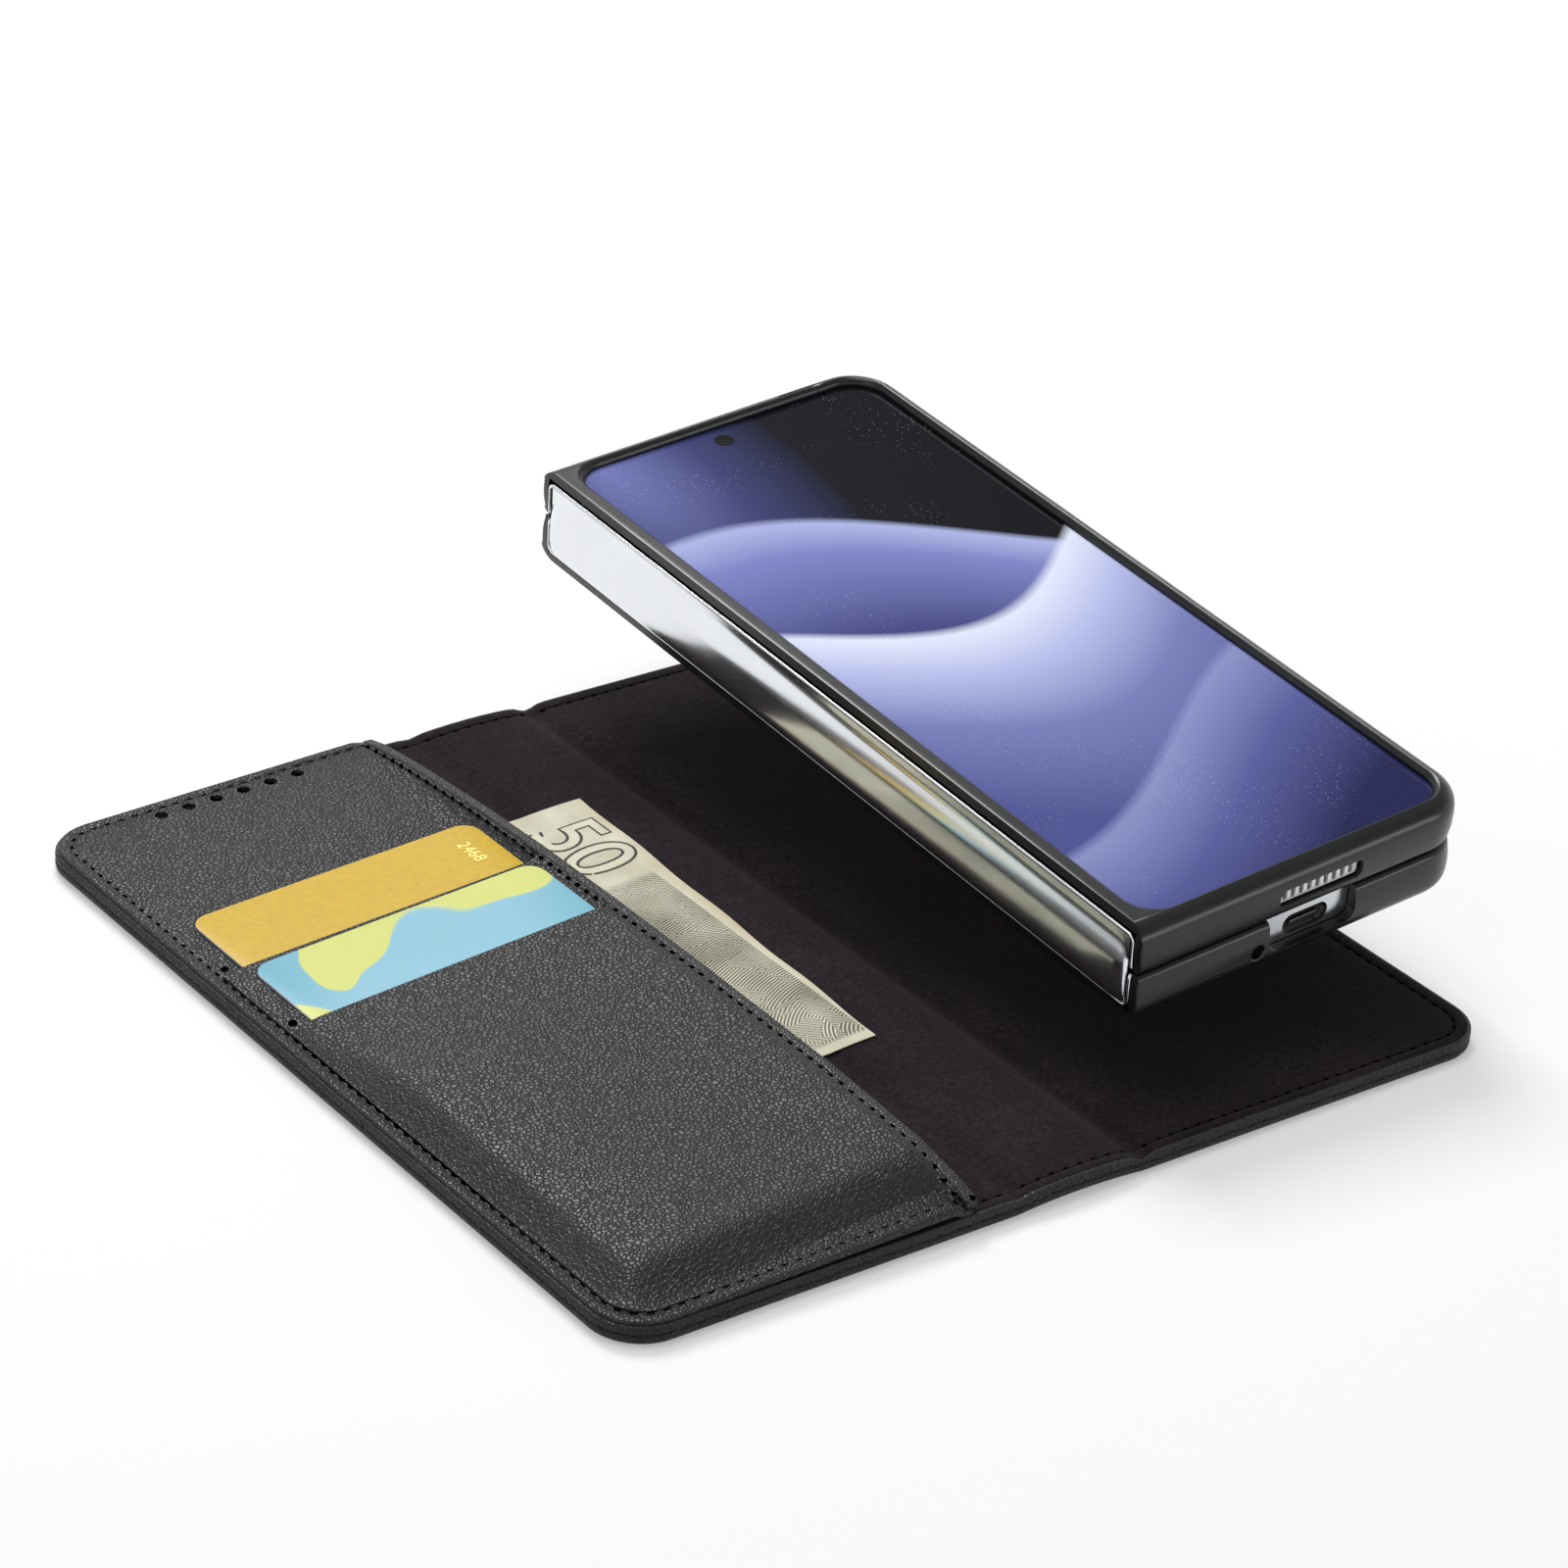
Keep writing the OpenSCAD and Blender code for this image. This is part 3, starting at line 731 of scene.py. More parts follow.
def make_outer_leather():
    """The outer leather, wrapped round the boards with its turned edge and a welt line below it."""
    sheet = block("outer_leather", (front_low.x, front_low.y, 0), (back_high.x, back_high.y, cover_top))
    round_upright(sheet, corner_radius, 12)
    welt = 1.8 * mm
    cut_lines(sheet, 2, [welt - 0.3 * mm, welt, welt + 0.3 * mm])
    start_work(sheet)
    pick(sheet, "edges", lambda edge: all_at(edge, 2, welt))
    bpy.ops.transform.shrink_fatten(value=-0.35 * mm)
    end_work()
    bevel_where(sheet, lambda edge: all_at(edge, 2, 0) and between_top_and_side(edge), 1.2 * mm, 4)
    step_in(sheet, lambda face: faces_up(face) and face.calc_center_median().z > 3 * mm,
            (0.6 * mm, 0), (0.25 * mm, -0.35 * mm))
    bevel_where(sheet, lambda edge: all_at(edge, 2, cover_top) and between_top_and_side(edge)
                and any(faces_up(face) for face in edge.link_faces)
                and max(abs(face.calc_center_median().z - cover_top) for face in edge.link_faces)
                > 0.5 * mm, 0.4 * mm, 3)
    cut_out(sheet, window_tool(0.0))
    bevel_where(sheet, lambda edge: between_top_and_side(edge) and inside_window(edge), 0.5 * mm, 3)
    cut_lines(sheet, 0, bend_places)
    upper_part = 2.6 * mm
    shape(sheet, lambda place: Vector((place.x, place.y, place.z + spine_arch(place.x)
                                       - crease_valley(place.x) * (place.z > upper_part))))
    halves = split_over_spine(sheet, "outer_leather", edge_leather, ("front_leather", "front_board"),
                              ("back_leather", "back_board", "spine_leather", "spine_board"))
    for half in halves:
        # The upright sides take the darker copy of the leather as painted shade.
        dress_sides(half, shaded_edge_side)


def inside_window(edge):
    """True for an edge on the rim of the camera window."""
    place = (edge.verts[0].co + edge.verts[1].co) / 2
    return 10 * mm < place.x < 34 * mm and 15 * mm < place.y < 76 * mm


def crease_valley(x):
    """How far the folio dips along its two creases."""
    back_depth = 0.9 * mm
    back_width = 2.0 * mm
    front_depth = 0.3 * mm
    front_width = 1.6 * mm
    return (back_depth * math.exp(-((x - back_crease) / back_width) ** 2)
            + front_depth * math.exp(-((x - front_crease) / front_width) ** 2))


def make_suede():
    """The suede lining over the spine and the back cover, raised a little outside its seam."""
    inset = 0.62 * mm
    low = Vector((front_low.x + 30 * mm, front_low.y + inset, cover_top - 0.55 * mm))
    high = Vector((back_high.x - inset, back_high.y - inset, cover_top + 0.04 * mm))
    sheet = block("suede", low, high)
    round_upright(sheet, corner_radius - inset, 12, lambda place: place.x > 0)
    step_in(sheet, faces_up, (1.7 * mm, 0), (0.3 * mm, -0.2 * mm), (0.5 * mm, 0.06 * mm),
            (1.6 * mm, 0.1 * mm))
    soften(sheet, 0.16 * mm, 2, 50)
    cut_out(sheet, window_tool(1.2 * mm))
    cut_lines(sheet, 0, bend_places + spread(back_crease + 12 * mm, back_high.x, 8 * mm))
    shape(sheet, lambda place: Vector((place.x, place.y, place.z + spine_arch(place.x)
                                       - crease_valley(place.x))))
    return split_over_spine(sheet, "suede_lining", suede, ("front_lining",),
                            ("back_lining", "spine_lining"))


def crush(piece):
    """Gives a pocket piece its own mesh."""
    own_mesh(piece)


def finish_pocket_piece(piece, finish, body, stands_for=()):
    """Gives a piece of the pockets its finish, its body and its own mesh."""
    give(piece, finish)
    smooth(piece)
    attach(piece, body)
    if stands_for:
        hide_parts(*stands_for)
    crush(piece)
    return piece


pocket_low = Vector((front_low.x + 0.5 * mm, front_low.y + 0.5 * mm, cover_top + 0.05 * mm))
pocket_high = Vector((hem_edge, front_high.y - 0.5 * mm, cover_top + 1.2 * mm))
rim_width = 2.1 * mm
upper_mouth = upper_high.y - 1.8 * mm
lower_mouth = lower_high.y - 1.4 * mm
hem_band = 1.5 * mm


def on_outer_side(place):
    """True on the front cover's outer side."""
    return place.x < (front_low.x + hem_edge) / 2


def make_pocket_panel():
    """The pocket panel with its rounded rim outside the seam and its six sound holes."""
    panel = block("pocket_panel", pocket_low, pocket_high)
    round_upright(panel, corner_radius - 0.5 * mm, 8, on_outer_side)
    step_in(panel, faces_up, (rim_width - 0.35 * mm, 0), (0.35 * mm, -0.3 * mm), (0.4 * mm, 0.1 * mm))
    bevel_where(panel, lambda edge: all(vertex.co.z > pocket_high.z - 1e-6 for vertex in edge.verts)
                and any(abs(face.normal.z) < 0.5 for face in edge.link_faces)
                and any(faces_up(face) for face in edge.link_faces), 0.6 * mm, 4)
    cut_lines(panel, 0, spread(pocket_low.x + 3 * mm, pocket_high.x - 3 * mm, 6 * mm)
              + [hem_edge - step * mm for step in (0.8, 1.6, 2.4, 3.2, 4)])
    cut_lines(panel, 1, spread(pocket_low.y + 3 * mm, pocket_high.y - 3 * mm, 9 * mm))
    punch_sound_holes(panel)

    def lie(place):
        settled = settle(place)
        below = layers_above(place.y, (upper_mouth, lower_mouth)) + (pocket_high.z - place.z) * 0.85
        return Vector((place.x, place.y, draw_to_hem(place, settled.z, below)))

    shape(panel, lie)
    return finish_pocket_piece(panel, pocket_leather, "front_panel", ("pocket_base",))


def shoulder(place, low_x, full):
    """The extra fullness of the lower pocket beside its outer seam, towards the folio's near end."""
    down = ease(-place.y, -9 * mm, 22 * mm)
    across = (place.x - low_x) / mm
    bell = ease(across, 0, 6.5) * (1 - 0.85 * ease(across, 8, 48))
    return full * down * bell


def pocket_sheet(name, low, high, stack_top, mouth, far_end, swell):
    """A card pocket: a sheet that rises from its seam over the cards below it, up to a folded mouth."""
    thick = 0.7 * mm
    sheet = block(name, (low.x, far_end, stack_top - thick), (high.x, mouth, stack_top))
    round_upright(sheet, 6.2 * mm, 10, lambda place: on_outer_side(place) and place.y < mouth - 1 * mm)
    steps = (0.35, 0.7, 1.1, 1.5, 1.9, 2.3, 2.7, 3.1, 3.6, 4.2, 5, 6, 7.2, 8.6, 10.2)
    cut_lines(sheet, 0, [low.x + step * mm for step in steps]
              + spread(low.x + 12.5 * mm, high.x - 5 * mm, 4 * mm)
              + [high.x - step * mm for step in (0.8, 1.6, 2.4, 3.2, 4.2)])
    cut_lines(sheet, 1, [far_end + step * mm for step in steps]
              + spread(far_end + 12.5 * mm, mouth - 2 * mm, 4 * mm)
              + [mouth - 0.6 * mm, mouth - 1.5 * mm, mouth - 3 * mm])

    def rise(place):
        settled = settle(place)
        under = thick * 0.8 if place.z < stack_top - thick / 2 else 0
        seat = cover_top + 1.05 * mm - under
        from_side = 1 - (1 - min(1, max(0, (place.x - low.x - 0.2 * mm) / (6.8 * mm)))) ** 3.1
        from_end = ease(place.y, far_end + 0.4 * mm, far_end + 8 * mm) if swell else 1
        full = shoulder(place, low.x, 1.7 * mm) if swell else 0
        height = seat + (settled.z + full - seat) * from_side * from_end
        below = under + layers_above(place.y, () if swell else (lower_mouth,))
        return Vector((place.x, place.y, draw_to_hem(place, height, below)))

    shape(sheet, rise)
    soften(sheet, 0.28 * mm, 3, 60)
    return sheet


def make_pocket_sheets():
    """The upper and the lower card pocket."""
    outer = front_low.x + seam_inset + 0.2 * mm
    high = Vector((hem_edge - hem_band + 0.35 * mm, 0, 0))
    low = Vector((outer, 0, 0))
    upper = pocket_sheet("upper_pocket", low, high, upper_high.z, upper_mouth, upper_low.y, False)
    lower = pocket_sheet("lower_pocket", low, high, lower_high.z, lower_mouth,
                         front_low.y + seam_inset + 0.2 * mm, True)
    finish_pocket_piece(upper, pocket_leather, "front_panel", ("upper_slot",))
    finish_pocket_piece(lower, pocket_leather, "front_panel", ("lower_slot",))
    return upper, lower


def height_on(trees, x, y):
    """The highest of some finished surfaces at a place of the folio."""
    found = [tree.ray_cast(Vector((x, y, 0.2)), Vector((0, 0, -1)))[0] for tree in trees]
    heights = [place.z for place in found if place is not None]
    return max(heights) if heights else cover_top


def make_hem():
    """The bound hem along the pockets' open side."""
    low = Vector((hem_edge - hem_band, pocket_low.y + 0.4 * mm, 0))
    high = Vector((hem_edge + 0.95 * mm, pocket_high.y - 0.4 * mm, 1.3 * mm))
    hem = block("pocket_hem", low, high)
    bevel_where(hem, lambda edge: reach(edge, 1) > 1 * mm
                or (all_at(edge, 0, edge.verts[0].co.x) and between_top_and_side(edge, 1)
                    and reach(edge, 2) > 0.1 * mm), 0.5 * mm, 4)
    cut_lines(hem, 1, spread(low.y, high.y, 1.5 * mm))

    def lie(place):
        droop = 0.25 * mm * ease(place.x, high.x - 0.8 * mm, high.x)
        return Vector((place.x, place.y, hem_line(place.y) - 1.12 * mm - droop + place.z))

    shape(hem, lie)
    return finish_pocket_piece(hem, edge_leather, "front_panel")


# ---- seams: one stitch and one needle hole of painted shade, copied along each seam ----
stitch_pitch = 2.65 * mm
stitch_length = 1.9 * mm
thread_radius = 0.19 * mm
needle_radius = 0.57 * mm


def make_stitch():
    """One short stitch of twisted thread whose ends dip into their holes."""
    stitch = rod("stitch", (0, 0, 0), 0, thread_radius, stitch_length, 6)
    cut_lines(stitch, 0, [-0.62 * mm, -0.3 * mm, 0, 0.3 * mm, 0.62 * mm])
    dip = 0.26 * mm
    shape(stitch, lambda place: Vector((place.x, place.y * 1.1, place.z * 0.9 - dip * (
        abs(place.x) / (stitch_length / 2)) ** 2.5)))
    give(stitch, thread)
    smooth(stitch, 60)
    return stitch


def make_needle_hole():
    """One needle hole: a dark disc of painted shade, drawn slightly long along its seam."""
    hole = rod("needle_hole", (0, 0, 0), 2, needle_radius, 0.16 * mm, 10)
    bevel_where(hole, lambda edge: all_at(edge, 2, 0.08 * mm), 0.06 * mm, 1)
    shape(hole, lambda place: Vector((place.x * 1.12, place.y * 0.92, place.z)))
    give(hole, needle_hole)
    smooth(hole, 60)
    return hole


def round_path(points, radius):
    """A path through corners, each rounded, as closely spaced places."""
    path = [Vector(points[0])]
    for before, corner, after in zip(points, points[1:], points[2:]):
        corner = Vector(corner)
        back_way = (Vector(before) - corner).normalized()
        on_way = (Vector(after) - corner).normalized()
        centre = corner + (back_way + on_way) * radius
        start = corner + back_way * radius - centre
        end = corner + on_way * radius - centre
        for index in range(13):
            path.append(centre + start * math.cos(math.pi / 2 * index / 12)
                        + end * math.sin(math.pi / 2 * index / 12))
    path.append(Vector(points[-1]))
    return path


def walk(path, pitch):
    """Evenly spaced places along a path, with the way it runs there."""
    lengths = [(b - a).length for a, b in zip(path, path[1:])]
    total = sum(lengths)
    count = max(1, round(total / pitch))
    places = []
    for index in range(count + 1):
        left = total * index / count
        for a, b, length in zip(path, path[1:], lengths):
            if left <= length or (b - path[-1]).length < 1e-9:
                part = min(1, left / length) if length else 0
                places.append((a.lerp(b, part), (b - a).normalized()))
                break
            left -= length
    return places


def sew(name, path, trees, yarn):
    """Lays stitches and needle holes along a path, on the surfaces below it."""
    made = []
    holes = []
    for place, way in walk(path, stitch_pitch):
        hole = Vector((place.x, place.y, height_on(trees, place.x, place.y)))
        turn = Matrix.Rotation(math.atan2(way.y, way.x), 4, "Z")
        made.append(copy_of(master_hole, "hole"))
        made[-1].matrix_world = Matrix.Translation((hole.x, hole.y, hole.z - 0.01 * mm)) @ turn
        holes.append(hole)
    for start, end in zip(holes, holes[1:]):
        middle = (start + end) / 2
        middle.z = max(middle.z, height_on(trees, middle.x, middle.y)) + 0.06 * mm
        turn = (end - start).normalized().to_track_quat("X", "Z").to_matrix().to_4x4()
        made.append(copy_of(master_stitch, "stitch"))
        made[-1].matrix_world = Matrix.Translation(middle) @ turn
    seam = join(name, made)
    for slot in seam.material_slots:
        if slot.material == thread:
            slot.material = yarn
    return seam


make_outer_leather()
suede_front, suede_back = make_suede()
pocket_panel = make_pocket_panel()
upper_pocket, lower_pocket = make_pocket_sheets()
pocket_hem = make_hem()


def make_seams():
    """All the folio's seams, each on the body that it is sewn to."""
    near = front_low.y + seam_inset
    far = front_high.y - seam_inset
    left = front_low.x + seam_inset
    right = back_high.x - seam_inset
    hem_start = hem_edge - 2.2 * mm
    hem_middle = hem_edge - hem_band - 0.3 * mm
    gap = 2.4 * mm
    bend = corner_radius - seam_inset
    pocket_trees = [tree_of(piece) for piece in (pocket_panel, upper_pocket, lower_pocket)]
    suede_trees = [tree_of(suede_front), tree_of(suede_back)]

    def lay(name, trees, yarn, *paths):
        """Sews along some paths of the flat folio, as one seam."""
        rows = [round_path([(x, y, 0) for x, y in path], bend) for path in paths]
        return join(name, [sew(name, row, trees, yarn) for row in rows])

    pocket_seam = lay("pocket_seam", pocket_trees, thread,
                      [(hem_start, far), (left, far), (left, near), (hem_start, near)])
    hem_seam = lay("hem_seam", pocket_trees, thread,
                   [(hem_middle, near + 1 * mm), (hem_middle, far - 1 * mm)])
    front_seam = lay("front_lining_seam", suede_trees, lining_thread,
                     *[[(hem_edge + 0.8 * mm, y), (front_crease - gap, y)] for y in (near, far)])
    spine_seam = lay("spine_seam", suede_trees, lining_thread,
                     *[[(front_crease + gap, y), (back_crease - gap, y)] for y in (near, far)])
    back_seam = lay("back_seam", suede_trees, lining_thread,
                    [(back_crease + gap, near), (right, near), (right, far), (back_crease + gap, far)])
    for seam in (pocket_seam, hem_seam, front_seam):
        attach(seam, "front_panel")
    crush(pocket_seam)
    crush(hem_seam)
    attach(spine_seam, "spine_panel")
    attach(back_seam, "back_panel")
    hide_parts("front_stitching")
    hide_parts("hem_stitching")
    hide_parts("spine_stitching")
    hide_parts("back_stitching")


def make_tacks():
    """The round tack holes beside the pocket mouths and at the hem's near end."""
    made = []
    for name, carrier, size in (("upper_mouth_tack", pocket_panel, 0.62),
                                ("lower_mouth_tack", upper_pocket, 0.75),
                                ("hem_tab_hole", pocket_hem, 0.5)):
        tack = rod(name, (0, 0, 0), 2, size * mm, 0.3 * mm, 16)
        step_in(tack, faces_up, (size * 0.25 * mm, -0.12 * mm))
        stand_on(tack, *place_by_point(carrier, image_points[name]))
        # The dark finish is painted shade inside the tack hole.
        give(tack, needle_hole)
        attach(tack, "front_panel")
        crush(tack)
        made.append(tack)
    return made


master_stitch = make_stitch()
master_hole = make_needle_hole()
make_seams()
bpy.data.objects.remove(master_stitch)
bpy.data.objects.remove(master_hole)
tacks = make_tacks()

# ---- the hard case and the phone, in the case's own frame ----
case_u = -Vector(joints["power_press"]["axis"])
case_v = Vector(joints["rear_hinge"]["axis"])
case_w = -Vector(joints["phone_lift"]["axis"])
pin_place = Vector(joints["rear_hinge"]["pos_m"])
case_origin = pin_place - (1.4 * case_u + 81 * case_v + 7.4 * case_w) * mm
case_frame = Matrix.Translation(case_origin) @ Matrix((case_u, case_v, case_w)).transposed().to_4x4()


def seat_in_case(piece):
    """Takes a piece from the case's own frame to where the case is held."""
    only(piece)
    piece.matrix_world = case_frame
    fix_in_place()


def case_box(*nodes):
    """The lowest and the highest corner of CAD nodes in the case's own frame."""
    back = case_frame.inverted()
    places = [back @ vertex.co for node in nodes for vertex in frame["nodes"][node].data.vertices]
    return (Vector([min(place[axis] for place in places) for axis in range(3)]),
            Vector([max(place[axis] for place in places) for axis in range(3)]))


def finish_case_piece(piece, finish, body, slot=None, stands_for=(), angle=35):
    """Gives a piece of the case or phone its finish, takes it to its place and its body."""
    give(piece, finish)
    smooth(piece, angle)
    seat_in_case(piece)
    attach(piece, body)
    if stands_for:
        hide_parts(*stands_for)
    if slot:
        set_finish(piece, slot)
    return piece


shell_low, shell_high = case_box("case_back_shell")
rim_low, rim_high = case_box("case_front_frame")
rear_low, rear_high = case_box("phone_rear_half")
lid_low, lid_high = case_box("phone_front_half")
case_width = shell_high.x
case_length = shell_high.y
case_wall = 1.8 * mm
case_bend = 9 * mm
above_case = 30 * mm
microphone_place = Vector((25 * mm, 0, 4 * mm))


def case_blank(name, low_z, high_z, outer_z):
    """Half of the hard case before it is hollowed: soft long edges and corners."""
    half = block(name, (0, 0, low_z), (case_width, case_length, high_z))
    round_upright(half, case_bend, 14, lambda place: place.x > case_width / 2)
    levels = (0.15, 0.25, 0.35, 0.5, 0.62) if outer_z == high_z else (0.38, 0.5, 0.65, 0.75, 0.85)
    cut_lines(half, 2, [low_z + (high_z - low_z) * level for level in levels])
    middle_z = (low_z + high_z) / 2

    def swell(place):
        part = ((place.z - middle_z) / (high_z - middle_z)) ** 2
        return Vector((case_width / 2 + (place.x - case_width / 2) * (1 - 0.014 * part),
                       case_length / 2 + (place.y - case_length / 2) * (1 - 0.006 * part), place.z))

    seam_z = low_z if outer_z == high_z else high_z
    for z, wall_bend, wall_steps, hinge_bend, hinge_steps in ((outer_z, 2.9 * mm, 7, 0.8 * mm, 4),
                                                              (seam_z, 1.0 * mm, 4, 1.35 * mm, 5)):
        bevel_where(half, lambda edge, at=z: all_at(edge, 2, at) and between_top_and_side(edge)
                    and not all_at(edge, 0, 0), wall_bend, wall_steps)
        bevel_where(half, lambda edge, at=z: all_at(edge, 2, at) and all_at(edge, 0, 0),
                    hinge_bend, hinge_steps)

    def at_hinge_corner(edge):
        y = edge.verts[0].co.y
        return (all_at(edge, 0, 0) and reach(edge, 2) > 0.3 * mm
                and min(abs(y), abs(y - case_length)) < 0.01 * mm)

    bevel_where(half, at_hinge_corner, 0.7 * mm, 4)
    shape(half, swell)
    return half


def hollow(half, low_z, high_z):
    """Cuts the phone's room out of half of the case, open towards the hinge and the seam."""
    room = block("room", (-2 * mm, case_wall, low_z),
                 (case_width - case_wall, case_length - case_wall, high_z))
    round_upright(room, case_bend - case_wall, 14, lambda place: place.x > case_width / 2)
    cut_out(half, room)


def flare(tool, rim_z, radius, way):
    """Widens a cutting tool towards a rim, upward or downward, so that the rim it leaves is rounded."""
    middle = []
    half = []
    for axis in (0, 1):
        places = [vertex.co[axis] for vertex in tool.data.vertices]
        middle.append((max(places) + min(places)) / 2)
        half.append((max(places) - min(places)) / 2)
    turns = [math.pi / 2 * step / 6 for step in range(7)]
    cut_lines(tool, 2, [rim_z - way * radius * (1 - math.sin(turn)) for turn in turns])

    def widen(place):
        depth = min(radius, max(0, way * (rim_z - place.z)))
        off = radius - math.sqrt(max(0, radius ** 2 - (radius - depth) ** 2))
        return Vector((middle[0] + (place.x - middle[0]) * (half[0] + off) / half[0],
                       middle[1] + (place.y - middle[1]) * (half[1] + off) / half[1], place.z))

    shape(tool, widen)


def end_notch(low, high, radius):
    """A tool with rounded corners that cuts through the case's end wall."""
    tool = block("end_notch", low, high)
    bevel_where(tool, lambda edge: reach(edge, 1) > 0.5 * mm, radius, 6)
    return tool


def make_case_front():
    """The front frame: a soft lip round the screen, the speaker's slot and a slot in the top wall."""
    front = case_blank("case_front", rim_low.z, rim_high.z, rim_high.z)
    hollow(front, 0, lid_high.z + 0.05 * mm)
    lip = 3.6 * mm
    cut_lines(front, 0, [case_width * part for part in (0.3, 0.7)])
    cut_lines(front, 1, [case_length * part for part in (0.2, 0.5, 0.8)])
    window = block("window", (lip, lip, lid_high.z - 1 * mm),
                   (case_width - lip, case_length - lip, above_case))
    round_upright(window, 6 * mm, 12)
    flare(window, rim_high.z, 1.3 * mm, 1)
    cut_out(front, window)
    low, high = case_box("speaker_grille")
    margin = 0.45 * mm
    cut_out(front, end_notch((low.x - margin, -2 * mm, low.z - margin),
                             (high.x + margin, case_wall + 0.5 * mm, high.z + margin), 1.2 * mm))
    middle = 37.3 * mm
    slot = block("slot", (middle - 12 * mm, case_length - 2.85 * mm, 16.95 * mm),
                 (middle + 12 * mm, case_length - 1.35 * mm, above_case))
    round_upright(slot, 0.45 * mm, 4)
    cut_out(front, slot)
    finish_case_piece(front, case_plastic, "case_front", "case_plastic", ("case_front_frame",), 30)


def make_case_back():
    """The back shell: the camera's slot, the charging notch and the notch for the keys."""
    back = case_blank("case_back", shell_low.z, shell_high.z, shell_low.z)
    hollow(back, rear_low.z - 0.03 * mm, above_case)
    low, high = case_box("camera_plate")
    grow = 0.4 * mm
    camera_slot = block("camera_slot", (low.x - grow, low.y - grow, -5 * mm),
                        (high.x + grow, high.y + grow, 5 * mm))
    round_upright(camera_slot, (high.x - low.x) / 2 + grow - 0.01 * mm, 12)
    flare(camera_slot, shell_low.z, 0.6 * mm, -1)
    cut_out(back, camera_slot)
    low, high = case_box("usb_socket")
    middle = (low.x + high.x) / 2
    cut_out(back, end_notch((middle - 9 * mm, -2 * mm, 2.9 * mm),
                            (middle + 9 * mm, case_wall + 0.5 * mm, 20 * mm), 2 * mm))
    low, high = case_box("power_key", "volume_key")
    cut_out(back, block("keys", (case_width - case_wall - 0.5 * mm, low.y - 3.5 * mm, low.z - 1.3 * mm),
                        (case_width + 2 * mm, high.y + 3.5 * mm, 20 * mm)))
    hole = microphone_place
    radius = 1.2 * mm
    cut_out(back, rod("microphone_drill", hole, 1, radius, 6 * mm, 24))
    bevel_where(back, lambda edge: all(vertex.co.y < 0.4 * mm and abs(
        math.hypot(vertex.co.x - hole.x, vertex.co.z - hole.z) - radius) < 0.02 * mm
        for vertex in edge.verts), 0.4 * mm, 4)
    finish_case_piece(back, case_plastic, "case_back", "case_plastic", ("case_back_shell",), 30)


def make_body_trim(name, outer_z, pivot_z, body):
    """The phone's bright edge, which shows as a thin frame round one half of the hinge cover.

    Its ends are rounded about the hinge's axis, so that the halves pass each other as they open."""
    cover_low, cover_high = case_box("hinge_cover")
    near = cover_low.y - 1.0 * mm
    far = cover_high.y + 1.0 * mm
    thick = 0.55 * mm
    inner_x = -0.12 * mm
    outer_x = 0.62 * mm
    way = 1 if pivot_z > outer_z else -1
    seam_z = pivot_z + way * 1.1 * mm
    low_z = min(outer_z, seam_z)
    high_z = max(outer_z, seam_z)
    trim = block(name, (inner_x, near, low_z), (outer_x, far, high_z))
    bevel_where(trim, lambda edge: all_at(edge, 2, outer_z) and not all_at(edge, 0, edge.verts[0].co.x)
                and edge.calc_length() < 2 * mm, 1.5 * mm, 6)
    tool_low = outer_z + thick if way > 0 else low_z - 1 * mm
    tool_high = outer_z - thick if way < 0 else high_z + 1 * mm
    tool = block("trim_tool", (-2 * mm, near + thick, tool_low), (2 * mm, far - thick, tool_high))
    bevel_where(tool, lambda edge: all_at(edge, 2, tool_low if way > 0 else tool_high)
                and edge.calc_length() < 5 * mm, 1.0 * mm, 6)
    cut_out(trim, tool)
    bevel_where(trim, lambda edge: all_at(edge, 0, inner_x) and between_top_and_side(edge, 0),
                0.24 * mm, 3)
    steps = (-0.6, -0.3, 0, 0.25, 0.5, 0.7, 0.85, 0.95, 1.03)
    cut_lines(trim, 2, [pivot_z + way * step * mm for step in steps])
    pivot_depth = 1.4 * mm
    turn_radius = 1.5 * mm

    def turn_in(place):
        past = way * (place.z - pivot_z)
        if past <= 0:
            return place
        edge = pivot_depth - math.sqrt(turn_radius ** 2 - min(past, pivot_depth) ** 2)
        return Vector((max(place.x, min(edge, 0.6 * mm)), place.y, place.z))

    shape(trim, turn_in)
    finish_case_piece(trim, hinge_chrome, body, "phone_body")


def make_grille():
    """The speaker's bright grille with its row of upright slots, just inside the frame's cut-out."""
    low, high = case_box("speaker_grille")
    front = case_wall - 0.75 * mm
    grille = block("speaker_bars", (low.x, front, low.z - 0.1 * mm), (high.x, high.y, high.z + 0.1 * mm))
    bevel_where(grille, lambda edge: reach(edge, 1) > 0.3 * mm, 0.7 * mm, 5)
    pitch = 1.72 * mm
    half_slot = 0.46 * mm
    for index in range(9):
        middle = (low.x + high.x) / 2 + (index - 4) * pitch
        cut_out(grille, end_notch((middle - half_slot, front - 1 * mm, low.z + 0.2 * mm),
                                  (middle + half_slot, front + 0.9 * mm, high.z - 0.15 * mm),
                                  0.44 * mm))
    soften(grille, 0.05 * mm, 1, 50)
    finish_case_piece(grille, grille_bright, "phone_lid", "grille_metal", ("speaker_grille",))
    felt = block("speaker_felt", (low.x + 0.3 * mm, front + 0.72 * mm, low.z + 0.1 * mm),
                 (high.x - 0.3 * mm, front + 0.8 * mm, high.z - 0.1 * mm))
    bevel_where(felt, lambda edge: reach(edge, 1) > 0.05 * mm, 0.5 * mm, 4)
    finish_case_piece(felt, dark_felt, "phone_lid")


def oval_rod(name, centre, half_width, half_height, near, far):
    """A flat oval bar that runs into the phone's end."""
    bar = block(name, (centre.x - half_width, near, centre.z - half_height),
                (centre.x + half_width, far, centre.z + half_height))
    bevel_where(bar, lambda edge: reach(edge, 1) > 0.1 * mm, half_height - 0.01 * mm, 8)
    return bar


